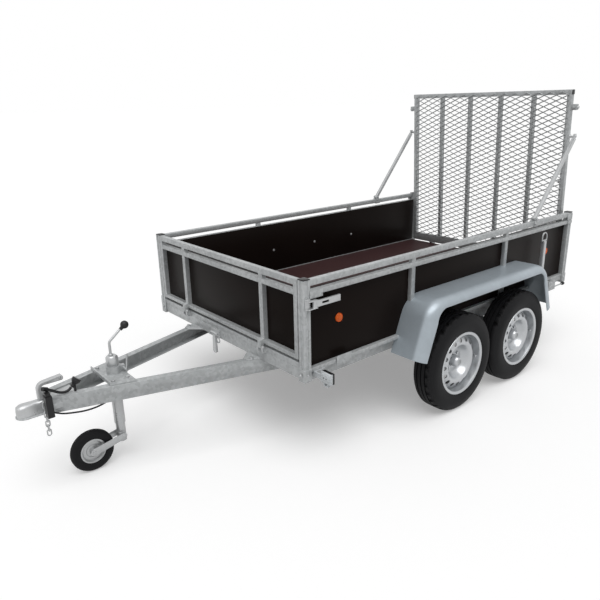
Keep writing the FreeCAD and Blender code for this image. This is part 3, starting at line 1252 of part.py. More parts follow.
def guard_line():
    """Outer line of the mudguard in X and Z with its inward direction and lip depth."""
    middle = aft(sum(AXLE_STATIONS) / 2 - GUARD_AHEAD)
    rise = math.atan(1 / GUARD_LEG_SLOPE)
    setback = GUARD_BEND * math.tan(rise / 2)
    corner = GUARD_FOOT_HALF - (GUARD_TOP - GUARD_FOOT_Z) * GUARD_LEG_SLOPE
    centre = (middle + corner - setback, GUARD_TOP - GUARD_BEND)
    steps = GUARD_BEND_STEPS
    line = [((middle + GUARD_FOOT_HALF, GUARD_FOOT_Z), 90 - math.degrees(rise), GUARD_LIP_LEG)]
    for k in range(steps + 1):
        turn = 90 - math.degrees(rise) + math.degrees(rise) * k / steps
        share = k / steps
        point = (centre[0] + GUARD_BEND * math.cos(math.radians(turn)),
                 centre[1] + GUARD_BEND * math.sin(math.radians(turn)))
        line.append((point, turn, GUARD_LIP_LEG + (GUARD_LIP_TOP - GUARD_LIP_LEG) * share))
    back = [((2 * middle - x, z), 180 - turn, lip) for (x, z), turn, lip in line[::-1]]
    return line + back


def mudguard():
    """Rolled guard over both left wheels: flat top, round outer edge and an upright lip."""
    y_in, y_out, sheet = BOARD_OUT + SEAT_GAP, GUARD_OUTER_Y, GUARD_SHEET
    sections = []
    for (x, z), turn, lip in guard_line():
        roll_y = y_out - GUARD_ROLL
        outer = [(y_in, 0.0)]
        outer += [(y, GUARD_ROLL - up)
                  for y, up in arc_points((roll_y, 0), GUARD_ROLL, 90, 0, GUARD_ROLL_STEPS)]
        outer += [(y_out, lip)]
        inner = [(y_out - sheet, lip)]
        inner += [(y, GUARD_ROLL - up)
                  for y, up in arc_points((roll_y, 0), GUARD_ROLL - sheet, 0, 90, GUARD_ROLL_STEPS)]
        inner += [(y_in, sheet)]
        down_x, down_z = -math.cos(math.radians(turn)), -math.sin(math.radians(turn))
        sections.append([Vec(x + down_x * depth, y, z + down_z * depth) for y, depth in outer + inner])
    return skin(sections, False).cut(side_frame())


def safety_chain():
    """Chain that hangs from the coupling's eye, each link turned across the one above."""
    pitch = 2 * (CHAIN_LINK_HALF - 2 * CHAIN_WIRE) - CHAIN_SLACK
    links = []
    for index in range(CHAIN_LINKS):
        ring = chain_link()
        if index % 2:
            ring.rotate(Vec(0, 0, 0), Vec(0, 0, 1), 90)
        ring.translate(Vec(ahead(CHAIN_AHEAD), CHAIN_Y, CHAIN_TOP - pitch * index))
        links.append(ring)
    return group(links)


def chain_link():
    """One link: two straight sides and two round ends, standing in X and Z."""
    reach = CHAIN_LINK_HALF - CHAIN_WIRE - CHAIN_BEND
    steps = CHAIN_BEND_STEPS
    line = []
    for first, centre_z in ((0, reach), (180, -reach)):
        for k in range(steps + 1):
            turn = first + 180 * k / steps
            swing = math.radians(turn)
            line.append((CHAIN_BEND * math.cos(swing), centre_z + CHAIN_BEND * math.sin(swing), swing))
    sections = []
    for x, z, swing in line:
        sections.append([Vec(x + u * math.cos(swing), v, z + u * math.sin(swing))
                         for u, v in ring_points(CHAIN_WIRE, CHAIN_SIDES)])
    return skin(sections, True)


def front_lamps():
    """Marker lamps on arms under the front corners, lens plates to the front."""
    x, low = aft(LAMP_AFT), BED_BOTTOM - LAMP_DROP - LAMP_HEIGHT / 2
    y1 = BOARD_OUT + LAMP_OUT + LAMP_WIDTH
    y0 = y1 - LAMP_WIDTH
    back, arm_z, seat = x - LAMP_DEPTH, LIP_BOTTOM, BOARD_OUT - LAMP_ARM_SEAT
    body = block(back, x, y0, y1, low, low + LAMP_HEIGHT)
    ring = block(back, x, y0 + LAMP_RING_INSET, y1 - LAMP_RING_INSET, low - LAMP_RING_DROP, low)
    window = block(back - 1, x + 1, y0 + LAMP_WINDOW_INSET, y1 - LAMP_WINDOW_INSET,
                   low - LAMP_WINDOW_DROP, low + 1)
    arm = block(back, back + LAMP_ARM_THICK, seat, y0 + 1, arm_z - LAMP_ARM_HEIGHT, arm_z)
    foot = block(back - LAMP_FOOT_LENGTH, back + LAMP_ARM_THICK, seat, UPRIGHT_OUT,
                 arm_z - LAMP_FOOT_THICK, arm_z)
    return both_sides(fuse([body, ring, arm, foot]).cut(window))


def gate_latch():
    """Over-centre latch on the front post: bracket, barrel and a channel lever."""
    barrel_x, z, near = aft(POST + LATCH_BARREL_BACK), LATCH_Z, HALF
    half, wall = LATCH_LEVER_HALF, LATCH_LEVER_WALL
    bracket = [block(aft(LATCH_EDGE), aft(POST - LATCH_EDGE), near, near + LATCH_PLATE,
                     z - LATCH_PLATE_HALF, z + LATCH_PLATE_HALF)]
    for low in (z - LATCH_EAR_HALF, z + LATCH_EAR_HALF - LATCH_PLATE):
        bracket.append(block(aft(LATCH_EAR_START), barrel_x - LATCH_EAR_PAST,
                             near, near + LATCH_EAR_OUT, low, low + LATCH_PLATE))
    barrel_y = near + LATCH_BARREL_OUT
    barrel = flat_bar((barrel_x, barrel_y, z - LATCH_EAR_HALF), (barrel_x, barrel_y, z + LATCH_EAR_HALF),
                      LATCH_BARREL_RADIUS)
    inside, outside = (near + out for out in LATCH_LEVER_OUT)
    lever = block(barrel_x, aft(LATCH_REACH), inside, outside, z - half, z + half)
    hollow = block(barrel_x - LATCH_HOLLOW_START, aft(LATCH_REACH + 1), inside - 1, outside - wall,
                   z - half + wall, z + half - wall)
    first, last = LATCH_SLOT
    slot = block(barrel_x - first, barrel_x - last, near, near + LATCH_SLOT_DEPTH,
                 z - LATCH_SLOT_HALF, z + LATCH_SLOT_HALF)
    return both_sides(fuse(bracket + [barrel, lever.cut(hollow).cut(slot)]))


def tilt_catch():
    """Catch on the front cross-beam that keeps the bed from tipping on the road."""
    front, z, thick = aft(MOVING_GAP), BED_BOTTOM, CATCH_PLATE_THICK
    low, high = (z - drop for drop in CATCH_PLATE_DROPS)
    plate = block(front, front + thick, *CATCH_PLATE_SIDES, low, high)
    hinge_x, hinge_z = front + CATCH_HINGE_OUT, z - CATCH_HINGE_DROP
    hinge = flat_bar(*((hinge_x, y, hinge_z) for y in CATCH_HINGE_ENDS), CATCH_HINGE_RADIUS)
    bolt_x, bolt_z = front + CATCH_BOLT_OUT, z - CATCH_BOLT_DROP
    bolt = flat_bar(*((bolt_x, y, bolt_z) for y in CATCH_BOLT_ENDS), CATCH_BOLT_RADIUS, HEX_SIDES)
    pear = arc_points((CATCH_PEAR[0], z - CATCH_PEAR[1]), CATCH_PEAR_RADIUS, 200, 340, 5)
    pear += [(y, z - drop) for y, drop in CATCH_NECK]
    face = Part.Face(polygon([(front + thick, y, up) for y, up in pear]))
    lever = face.extrude(Vec(CATCH_LEVER_THICK, 0, 0))
    ring_y, ring_z = CATCH_RING[0], z - CATCH_RING[1]
    near, far = (front + out for out in CATCH_RING_FACES)
    ring = flat_bar((near, ring_y, ring_z), (far, ring_y, ring_z), CATCH_RING_RADIUS, RING_SIDES)
    hole = flat_bar((near - 1, ring_y, ring_z), (far + 1, ring_y, ring_z), CATCH_RING_HOLE, RING_SIDES)
    tie = block(near, far, *CATCH_TIE_SIDES, ring_z - CATCH_TIE_HALF, ring_z + CATCH_TIE_HALF)
    return fuse([plate, hinge, bolt, lever, ring, tie]).cut(hole)


def route_wire(points, radius_share=0.45):
    """Straight runs joined by tangent arcs through a route's points."""
    edges = []
    start = Vec(*points[0])
    for index in range(1, len(points) - 1):
        before, corner, after = (Vec(*points[index + k]) for k in (-1, 0, 1))
        into, out = (corner - before), (after - corner)
        setback = min(into.Length, out.Length) * radius_share
        into.normalize()
        out.normalize()
        first, last = corner - into * setback, corner + out * setback
        turn = into.getAngle(out)
        radius = setback / math.tan(turn / 2)
        centre_way = out - into
        centre_way.normalize()
        middle = corner + centre_way * (radius / math.cos(turn / 2) - radius)
        edges.append(Part.LineSegment(start, first).toShape())
        edges.append(Part.Arc(first, middle, last).toShape())
        print("  bend radius", round(radius, 1), "turn", round(math.degrees(turn), 1))
        start = last
    edges.append(Part.LineSegment(start, Vec(*points[-1])).toShape())
    return Part.Wire(edges)


def cord_tube(route, radius):
    """A cord's tube along its route, with its length and volume printed."""
    points = [(ahead(x), y, z) for x, y, z in route]
    path = route_wire(points)
    way = Vec(*points[1]) - Vec(*points[0])
    turn = FreeCAD.Rotation(Vec(0, 0, 1), way)
    ring = polygon([turn.multVec(Vec(x, y, 0)) + Vec(*points[0])
                    for x, y in ring_points(radius, CORD_SIDES)])
    tube = path.makePipeShell([ring], True, False)
    expected = Part.Face(ring).Area * path.Length
    print("  cord length", round(path.Length, 1), "volume ratio", round(tube.Volume / expected, 4))
    return tube


def route_end(route, index, other):
    """An end point of a route and the unit direction that leads out of it."""
    end = Vec(ahead(route[index][0]), route[index][1], route[index][2])
    near = Vec(ahead(route[other][0]), route[other][1], route[other][2])
    way = end - near
    way.normalize()
    return end, way


def lead_fittings():
    """Socket housing ahead of the left beam, the parked plug and the cable's gland."""
    x, y, half = ahead(HOUSING_AHEAD), HOUSING_Y, HOUSING_HALF
    body = block(x - half, x + half * 0.5, y - half, y + half, HOUSING_BOTTOM, HOUSING_TOP - 14)
    cap = block(x - half + 4, x + half * 0.5 - 4, y - half + 4, y + half - 4,
                HOUSING_TOP - 15, HOUSING_TOP)
    exits = []
    for route, radius in ((LEAD_ROUTE, LEAD_RADIUS), (CABLE_ROUTE, CABLE_RADIUS)):
        end, way = route_end(route, 0, 1)
        exits.append(flat_bar(end, end + way * 26, radius + 3, 8))
    housing = fuse([body, cap] + exits)
    end, way = route_end(LEAD_ROUTE, -1, -2)
    plug = faceted([(0, 0), (PLUG_NECK, 0), (PLUG_NECK, PLUG_LENGTH / 3),
                    (PLUG_FACE - 3, PLUG_LENGTH * 0.6), (PLUG_FACE, PLUG_LENGTH * 0.75),
                    (PLUG_FACE, PLUG_LENGTH), (0, PLUG_LENGTH)], end, way, PIN_SIDES)
    foot = block(end.x - 16, end.x - 8, end.y - 5, end.y + 9, DRAWBAR_TOP, end.z + 8)
    gland_end, gland_way = route_end(CABLE_ROUTE, -1, -2)
    gland = flat_bar(gland_end, gland_end + gland_way * 22, CABLE_RADIUS + 3, 8)
    return housing, fuse([plug, foot]), gland


def build():
    os.makedirs("parts", exist_ok=True)
    save("drawbar_left", left_drawbar())
    save("drawbar_right", other_side(drawbar()))
    save("side_rails", both_sides(side_rail()))
    save("front_cross_beam", front_cross_beam())
    save("centre_cross_beam", centre_cross_beam())
    save("rear_cross_beam", rear_cross_beam())
    save("coupling_head", coupling_head())
    save("coupling_lever", coupling_lever())
    save("jockey_bracket", jockey_bracket())
    save("jockey_outer_tube", jockey_outer_tube())
    save("jockey_crank", jockey_crank())
    save("crank_knob", crank_knob())
    save("jockey_inner_tube", jockey_inner_tube())
    save("jockey_fork", jockey_fork())
    save("jockey_tyre", jockey_tyre())
    save("jockey_rim", jockey_rim())
    save("axle_front", axle(AXLE_STATIONS[0]))
    save("axle_rear", axle(AXLE_STATIONS[1]))
    for place, station in zip(("front", "rear"), AXLE_STATIONS):
        for hand, side in (("left", 1), ("right", -1)):
            save("tyre_" + place + "_" + hand, tyre(station, side))
            save("rim_" + place + "_" + hand, rim(station, side))
    save("bed_frame", bed_frame())
    save("floor_board", floor_board())
    save("corner_posts", corner_posts())
    save("post_caps", post_caps())
    save("reflectors", reflectors())
    save("front_lamps", front_lamps())
    save("gate_latches", gate_latch())
    save("top_rails", both_sides(top_rail()))
    save("stay_clamps", both_sides(stay_clamp()))
    save("prop_clamps", both_sides(prop_clamp()))
    save("tilt_catch", tilt_catch())
    save("safety_chain", safety_chain())
    save("lead", cord_tube(LEAD_ROUTE, LEAD_RADIUS))
    save("lead_cable", cord_tube(CABLE_ROUTE, CABLE_RADIUS))
    save("lead_fittings", group(lead_fittings()))
    save("gate_frame", gate_frame())
    save("gate_board", gate_board())
    save("gate_hinges", gate_hinges())
    save("ramp_frame", ramp_frame())
    save("ramp_studs", ramp_studs())
    save("ramp_mesh", ramp_mesh())
    save("ramp_hinges", ramp_hinges())
    for hand in ("left", "right"):
        turn = other_side if hand == "right" else (lambda shape: shape)
        save("side_board_" + hand, turn(side_board()))
        save("side_frame_" + hand, turn(side_frame()))
        save("stay_" + hand, turn(stay()))
        save("stay_hook_" + hand, turn(stay_hook()))
        save("prop_" + hand, turn(prop()))
        save("mudguard_" + hand, turn(mudguard()))


build()
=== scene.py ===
"""Finishes, fittings and stage of a twin-axle utility trailer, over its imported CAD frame.

Metres. +X points forward to the coupling, +Y to the trailer's left, +Z up, the floor is z = 0.
"""
import json
import math

import bmesh
import bpy
from mathutils import Matrix, Vector


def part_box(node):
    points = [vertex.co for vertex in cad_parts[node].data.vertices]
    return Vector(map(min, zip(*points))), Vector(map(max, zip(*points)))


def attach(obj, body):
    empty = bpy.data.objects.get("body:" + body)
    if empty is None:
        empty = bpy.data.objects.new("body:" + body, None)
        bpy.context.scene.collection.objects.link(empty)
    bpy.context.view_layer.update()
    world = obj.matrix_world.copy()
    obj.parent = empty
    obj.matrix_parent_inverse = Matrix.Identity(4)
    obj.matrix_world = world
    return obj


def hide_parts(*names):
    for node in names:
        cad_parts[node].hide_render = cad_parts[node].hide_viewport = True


bl_info = {
    "name": "Utility trailer",
    "version": (1, 0, 0),
    "blender": (4, 5, 0),
    "location": "3D View > Sidebar > Trailer",
    "description": "Finishes and fits out a twin-axle box trailer with a mesh loading ramp",
    "category": "Object",
}

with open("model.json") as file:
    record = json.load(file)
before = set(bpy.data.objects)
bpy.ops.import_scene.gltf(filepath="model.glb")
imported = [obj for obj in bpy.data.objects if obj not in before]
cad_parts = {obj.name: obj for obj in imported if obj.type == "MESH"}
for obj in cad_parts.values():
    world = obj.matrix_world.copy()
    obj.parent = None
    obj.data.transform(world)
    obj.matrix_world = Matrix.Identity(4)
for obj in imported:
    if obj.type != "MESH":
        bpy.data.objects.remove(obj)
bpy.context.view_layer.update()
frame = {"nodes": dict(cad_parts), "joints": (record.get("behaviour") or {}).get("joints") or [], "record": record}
NODES = frame["nodes"]
RECORD = frame["record"]
JOINTS = {joint["name"]: joint for joint in frame["joints"]}
BODY_OF = {node: body for body, nodes in RECORD["behaviour"]["bodies"].items() for node in nodes}
SLOT_OF = {part["node"]: part["material_slot"] for part in RECORD["subparts"]}
HANDS = (("left", 1), ("right", -1))
WHEELS = sorted(place + "_" + hand for place in ("front", "rear") for hand, side in HANDS)

# Nodes that get a form of their own or stay as they are; all the others get rounded edges
OWN_FORM = {"ramp_mesh", "safety_chain", "crank_knob", "jockey_tyre", "jockey_rim", "jockey_crank",
            "mudguard_left", "mudguard_right", "reflectors", "lead", "lead_cable", "lead_fittings"}
OWN_FORM.update(part + "_" + wheel for part in ("tyre", "rim") for wheel in WHEELS)

# Materials by finish
FINISHES = {}

# Sockets of the shader groups that aren't plain values
SOCKET_KIND = {"Vector": "NodeSocketVector", "Dark": "NodeSocketColor",
               "Light": "NodeSocketColor", "Color": "NodeSocketColor"}

# Colours of the plastic pieces
BLACK_PLASTIC = (0.010, 0.010, 0.011)
AMBER_LENS = (0.74, 0.115, 0.004)
RED_LENS = (0.45, 0.012, 0.010)
CLEAR_LENS = (0.62, 0.65, 0.67)

# The photograph's camera, measured from the box's front plane
FRONT_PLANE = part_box("corner_posts")[1].x
CAMERA_AHEAD = 1.5519
CAMERA_LEFT = 2.5493
CAMERA_HEIGHT = 1.6579
CAMERA_YAW = math.radians(-129.4747)
CAMERA_PITCH = math.radians(18.3269)
CAMERA_ROLL = math.radians(-1.2375)
FOCAL_PIXELS = 589.35
PHOTO_PIXELS = 600
SENSOR_WIDTH = 36.0

# Floor: half its width, its shade where it lights the trailer and where it is seen, and the
# lift of its shadow
FLOOR_HALF = 400
FLOOR_BOUNCE = 0.55
FLOOR_SEEN = 0.81
FLOOR_LIFT = 0.28

# Broad light: how wide it looks, and the way that it shines
KEY_SPREAD = math.radians(50)
KEY_AIM = Vector((-0.25, -0.35, -1))

# Modelling fits, with the angles in degrees from which edges are rounded or faces are one
MERGE = 0.00001
FULL_TURN = 2 * math.pi
BEND_STEPS = 12
BOX_CORNER, ROD_CORNER, NODE_CORNER = 45, 70, 40
FLAT_ANGLE = 0.5

# Bolts, as shares of the width across the head's flats
WASHER_THICK, WASHER_RADIUS, WASHER_ROUND = 0.10, 0.85, 0.3
HEAD_THICK, HEAD_RADIUS, HEAD_ROUND = 0.45, 0.577, 0.06

# Road tyres, from their solids; profiles are points of (radius, distance along the axle)
TYRE_LOW, TYRE_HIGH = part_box("tyre_front_left")
TYRE_RADIUS = (TYRE_HIGH.z - TYRE_LOW.z) / 2
TYRE_HALF = (TYRE_HIGH.y - TYRE_LOW.y) / 2
TYRE_STEPS = 96
CROWN_HALF, CROWN_DROP = 0.043, 0.0015
GROOVES = (0.026, 0.0)
GROOVE_TOP, GROOVE_FOOT = 0.004, 0.003

# Cross slots of the tread: one in so many steps, how near the middle they start, and their
# share of the grooves' depth; ribs are the faces in a band under the crown that face outwards
SLOT_EVERY, SLOT_FROM, SLOT_SHARE = 3, 0.02, 0.7
RIB_BAND, RIB_TILT = 0.004, 0.6

# Pressed wheels: barrel, dished disc and its vents, hub with its cap, bolts and valve
RIM_SEAT, RIM_FLANGE, BEAD_HALF = 0.170, 0.182, 0.056
DISC_SHEET = 0.006
DISC_LINE = [(0.034, -0.003), (0.040, -0.001), (0.060, -0.003), (0.070, -0.002), (0.080, 0.006),
             (0.090, 0.026), (0.097, 0.039), (0.105, 0.0455), (0.113, 0.047), (0.120, 0.0455),
             (0.131, 0.040), (0.143, 0.032), (0.153, 0.022), (RIM_SEAT - 0.0065, 0.014)]
VENT_COUNT, VENT_CIRCLE, VENT_RADIUS = 16, 0.131, 0.0125
VENT_BACK, VENT_FRONT = 0.006, 0.070
HUB_LINE = [(0.0151, -0.088), (0.046, -0.088), (0.046, -0.0095), (0.0315, -0.0095),
            (0.0315, 0.026), (0.030, 0.032), (0.024, 0.040), (0.0151, 0.042)]
WHEEL_BOLTS, WHEEL_BOLT_CIRCLE = 4, 0.050
WHEEL_BOLT_SEAT, WHEEL_BOLT_WIDTH = -0.0035, 0.019
VALVE_FOOT, VALVE_RUN = Vector((0.148, 0, 0.024)), Vector((-0.010, 0, 0.030))
VALVE_RADIUS = 0.0045

# Jockey wheel, as half profiles
JOCKEY_TYRE_LINE = [(0.062, 0.017), (0.070, 0.0205), (0.082, 0.023), (0.095, 0.0205),
                    (0.102, 0.014), (0.1045, 0.008), (0.1025, 0.006), (0.1045, 0.004)]
JOCKEY_RIM_LINE = [(0.0081, 0.025), (0.015, 0.025), (0.017, 0.010), (0.030, 0.007),
                   (0.034, 0.010), (0.042, 0.010), (0.048, 0.008), (0.055, 0.018),
                   (0.0617, 0.0165)]

# Ramp, upright from its hinge, and the place that carries it there and leans it forward
RAMP_LEAN = math.radians(3)
RAMP_PLACE = (Matrix.Translation(Vector(JOINTS["ramp_hinge"]["pos_m"]))
              @ Matrix.Rotation(RAMP_LEAN, 4, "Y"))
RAMP_FACE = 0.050
RAMP_HALF = 0.627
RAMP_MESH_LOW = 0.088
RAMP_MESH_HIGH = 1.188
RAMP_BOLTS_LEFT, RAMP_BOLTS_UP = 0.600, (0.30, 0.62, 0.94)
RAMP_BOLTS_OUT, RAMP_BOLTS_AXIS = 0.004, (1, 0, -0.05)

# Ramp mesh: the strands' sheet, their twist and how far they run into each other
STRAND_SHEET = 0.0024
STRAND_TWIST = math.radians(38)
STRAND_LAP = 1.04

# Mudguard section and line, measured from its own middle; the slope is run over rise
GUARD_MIDDLE = FRONT_PLANE - 1.275
GUARD_TOP = 0.707
GUARD_FOOT = Vector((0.662, 0, 0.420))
GUARD_SLOPE = 45 / 122
GUARD_BEND = 0.135
GUARD_ROLL_ACROSS, GUARD_ROLL = 0.060, 0.038
GUARD_BEAD = 0.004
GUARD_IN, GUARD_OUT = 0.6575, 0.845
GUARD_LIP_TOP, GUARD_LIP_LEG = 0.044, 0.074
GUARD_SHEET = 0.0025

# Crank, from its foot on the jockey tube, and its knob
CRANK_AHEAD, CRANK_FOOT = 0.616, 0.5552
CRANK_RISE, CRANK_REACH, CRANK_LIFT = 0.0668, 0.066, 0.054
CRANK_RADIUS, CRANK_BEND = 0.0062, 0.018
COLLAR_RADIUS, COLLAR_RISE = 0.0112, 0.008
KNOB_RADIUS = 0.0195
KNOB_NECK = [(CRANK_RADIUS, -0.030), (0.0085, -0.030), (0.0090, -0.020)]

# Chain, lead and cable, measured from the box's front plane
CHAIN_AHEAD, CHAIN_LEFT, CHAIN_TOP = 0.952, 0.048, 0.432
CHAIN_PITCH = 0.0225
CHAIN_LINKS = 7
LINK_BEND, LINK_WIRE, LINK_HALF = 0.0085, 0.003, 0.018
LINK_SIDES, LINK_STEPS = 10, 24
LEAD_DIAMETER, LEAD_LENGTH = 0.0125, 0.129
CABLE_DIAMETER, CABLE_LENGTH = 0.008, 0.352
LEAD_ROUTE = ((.940, .071, .512), (.919, .063, .500), (.896, .0565, .480), (.873, .053, .468),
              (.853, .051, .466), (.839, .0505, .471), (.831, .050, .480))
CABLE_ROUTE = ((.931, .076, .401), (.909, .070, .386), (.882, .064, .371), (.842, .064, .361),
               (.797, .070, .355), (.750, .076, .356), (.706, .079, .364), (.668, .080, .378),
               (.634, .087, .392), (.600, .101, .3945))

# Side reflectors on the boards' outer face, with their line as (radius, distance out)
BOARD_OUT = 0.657
REFLECTORS_BEHIND, REFLECTOR_UP = (0.239, 2.112), 0.708
REFLECTOR_LINE = [(0.0, 0.0068), (0.017, 0.0062), (0.0195, 0.0050), (0.0205, 0.0066),
                  (0.0218, 0.0050), (0.0218, 0.0)]

# Boxes on the left side: their bmesh, two opposite corners and the rounding of their edges.
# Tail lamps are measured from the middle of the rear edge, marker lamps from their solids'
# highest corner, the ramp's trims from its hinge and the plates from the front plane.
ORIGIN = Vector((0, 0, 0))
FRONT = Vector((FRONT_PLANE, 0, 0))
TAIL_PLACE = Vector((FRONT_PLANE - 2.368, 0, 0.443))
TAIL_LAMP = (("red", (0.0, 0.470, 0.002), (0.016, 0.585, 0.064), 0.005),
             ("amber", (0.0, 0.587, 0.002), (0.016, 0.640, 0.064), 0.005),
             ("black", (0.012, 0.470, 0.0), (0.042, 0.640, 0.066), 0.003))
MARKER_LAMP = (("clear", (-0.002, -0.059, -0.047), (0.0035, -0.005, -0.005), 0.002),
               ("black", (-0.028, -0.0655, -0.0525), (-0.009, -0.0005, 0.0005), 0.002))
RAMP_TRIM = (("lugs", (0.022, 0.6335, 1.070), (0.050, 0.671, 1.106), 0.003),
             ("caps", (0.0205, 0.6332, 1.1645), (0.0495, 0.6365, 1.1925), 0.001))
FLOOR_TRIM = ("plates", (-2.335, 0.6410, 0.5512), (-0.035, 0.6448, 0.5560), 0.001)
BEAM_PLATE = ("plates", (-0.295, 0.6842, 0.480), (-0.200, 0.6880, 0.5285), 0.001)
LATCH_TAB = ("plates", (-0.112, 0.6875, 0.850), (-0.036, 0.6905, 0.884), 0.001)
PROP_PLATE = ("plates", (-2.205, 0.690, 0.436), (-2.120, 0.708, 0.4995), 0.002)
UPPER_CORNER = (("plates", (-2.3725, 0.6842, 0.888), (-2.312, 0.6880, 0.928), 0.001),
                ("plates", (-2.3735, 0.6465, 0.888), (-2.3702, 0.6880, 0.928), 0.001))
LOWER_CORNER = (("plates", (-2.3725, 0.6842, 0.862), (-2.324, 0.6880, 0.885), 0.001),
                ("plates", (-2.3735, 0.6465, 0.862), (-2.3702, 0.6880, 0.885), 0.001))
BED_PLATES = (FLOOR_TRIM, BEAM_PLATE, LATCH_TAB, PROP_PLATE) + UPPER_CORNER + LOWER_CORNER

# Marker lamps' two screws, from the same corner as the lamp
MARKER_SCREWS = ((0.0030, -0.040, -0.024), (0.0030, -0.024, -0.024))
MARKER_SCREW_RADIUS, MARKER_SCREW_OUT = 0.0032, 0.0012

# Prop clamps' long screws and their knobs, from the front plane
PROP_SCREW_END, PROP_SCREW_TIP = (-2.070, 0.700, 0.4505), (-2.322, 0.700, 0.4505)
PROP_SCREW_RADIUS = 0.0045
PROP_KNOB_RADIUS, PROP_KNOB_BACK, PROP_KNOB_AHEAD = 0.0115, 0.012, 0.010

# Coupling's lower flange: a half ring at the nose between two straight legs
FLANGE_AHEAD, FLANGE_RADIUS, FLANGE_UP = 1.0245, 0.039, 0.3885
FLANGE_LEG_AHEAD, FLANGE_LEG_LEFT = 0.938, 0.038
FLANGE_WIRE, FLANGE_STEPS = 0.0034, 14

# Bolts on the left: body, place from the front plane, axis, and share of the set bolt width
SMALL = 0.6
BOLTS = (("bed", (-0.020, 0.688, 0.486), (0, 1, 0), SMALL),
         ("bed", (0.003, 0.665, 0.486), (1, 0, 0), SMALL),
         ("bed", (-2.350, 0.688, 0.486), (0, 1, 0), SMALL),
         ("bed", (-2.373, 0.665, 0.486), (-1, 0, 0), SMALL),
         ("chassis", (0.585, 0.095, 0.464), (0, 0, 1), 1),
         ("chassis", (0.655, 0.095, 0.464), (0, 0, 1), 1),
         ("chassis", (0.030, 0.310, 0.463), (0, 0, 1), 1))
BOLTS += tuple(("bed", (-behind, 0.645, 0.704), (0, -1, 0), SMALL)
               for behind in (0.853, 1.228, 1.603))
LUG_BOLT, LUG_BOLT_WIDTH = (0.050, 0.652, 1.088), 0.015
STAY_BOLT, STAY_BOLT_WIDTH = (-1.905, 0.6865, 0.952), 0.013


class TrailerFinish(bpy.types.PropertyGroup):
    """Colours that a user would change."""
    galvanised: bpy.props.FloatVectorProperty(
        name="Galvanised steel", description="Colour of the hot-dip galvanised frame",
        subtype="COLOR", size=3, min=0.0, max=1.0, default=(0.44, 0.455, 0.46))
    zinc: bpy.props.FloatVectorProperty(
        name="Bright zinc", description="Colour of the zinc-plated fittings",
        subtype="COLOR", size=3, min=0.0, max=1.0, default=(0.50, 0.51, 0.515))
    guard: bpy.props.FloatVectorProperty(
        name="Mudguard zinc", description="Colour of the smooth zinc sheet of the mudguards",
        subtype="COLOR", size=3, min=0.0, max=1.0, default=(0.40, 0.45, 0.49))
    board: bpy.props.FloatVectorProperty(
        name="Board film", description="Colour of the resin film on the side boards",
        subtype="COLOR", size=3, min=0.0, max=1.0, default=(0.009, 0.006, 0.005))
    floor: bpy.props.FloatVectorProperty(
        name="Floor film", description="Colour of the gritted film on the floor board",
        subtype="COLOR", size=3, min=0.0, max=1.0, default=(0.042, 0.020, 0.020))
    rubber: bpy.props.FloatVectorProperty(
        name="Rubber", description="Colour of the tyres",
        subtype="COLOR", size=3, min=0.0, max=1.0, default=(0.009, 0.009, 0.010))
    rim: bpy.props.FloatVectorProperty(
        name="Wheel lacquer", description="Colour of the silver wheels",
        subtype="COLOR", size=3, min=0.0, max=1.0, default=(0.50, 0.515, 0.53))


class TrailerSizes(bpy.types.PropertyGroup):
    """Sizes of the fine detail that a user would change."""
    edge_round: bpy.props.FloatProperty(
        name="Edge rounding", description="Radius along the edges of folded and welded steel",
        subtype="DISTANCE", unit="LENGTH", min=0.0, default=0.0012)
    diamond_width: bpy.props.FloatProperty(
        name="Diamond width", description="Long way of the ramp mesh's diamonds",
        subtype="DISTANCE", unit="LENGTH", min=0.02, default=0.082)
    diamond_height: bpy.props.FloatProperty(
        name="Diamond height", description="Short way of the ramp mesh's diamonds",
        subtype="DISTANCE", unit="LENGTH", min=0.01, default=0.035)
    strand_width: bpy.props.FloatProperty(
        name="Strand width", description="Width of the ramp mesh's strands",
        subtype="DISTANCE", unit="LENGTH", min=0.001, default=0.0066)
    groove_depth: bpy.props.FloatProperty(
        name="Groove depth", description="Depth of the tyres' grooves",
        subtype="DISTANCE", unit="LENGTH", min=0.0, default=0.007)
    bolt_width: bpy.props.FloatProperty(
        name="Bolt width", description="Width across the frame bolts' heads",
        subtype="DISTANCE", unit="LENGTH", min=0.005, default=0.017)


class TrailerLight(bpy.types.PropertyGroup):
    """Levels of the studio light."""
    ambient: bpy.props.FloatProperty(
        name="Ambient", description="Strength of the sky light on the trailer",
        min=0.0, max=2.0, default=0.40)
    key: bpy.props.FloatProperty(
        name="Key light", description="Strength of the broad light from above",
        min=0.0, default=1.75)


def add_node(tree, kind, **values):
    """A node with its properties or named inputs set; _ stands for a space."""
    node = tree.nodes.new(kind)
    for key, value in values.items():
        if hasattr(node, key):
            setattr(node, key, value)
        else:
            node.inputs[key.replace("_", " ")].default_value = value
    return node


def add_mix(tree, kind, factor, first, second):
    """Mixes two sockets or plain values by a factor, and gives the output socket."""
    node = add_node(tree, "ShaderNodeMix", data_type=kind)
    first_place, second_place, output = (2, 3, 0) if kind == "FLOAT" else (6, 7, 2)
    tree.links.new(factor, node.inputs[0])
    for place, source in ((first_place, first), (second_place, second)):
        if isinstance(source, bpy.types.NodeSocket):
            tree.links.new(source, node.inputs[place])
        else:
            node.inputs[place].default_value = source
    return node.outputs[output]


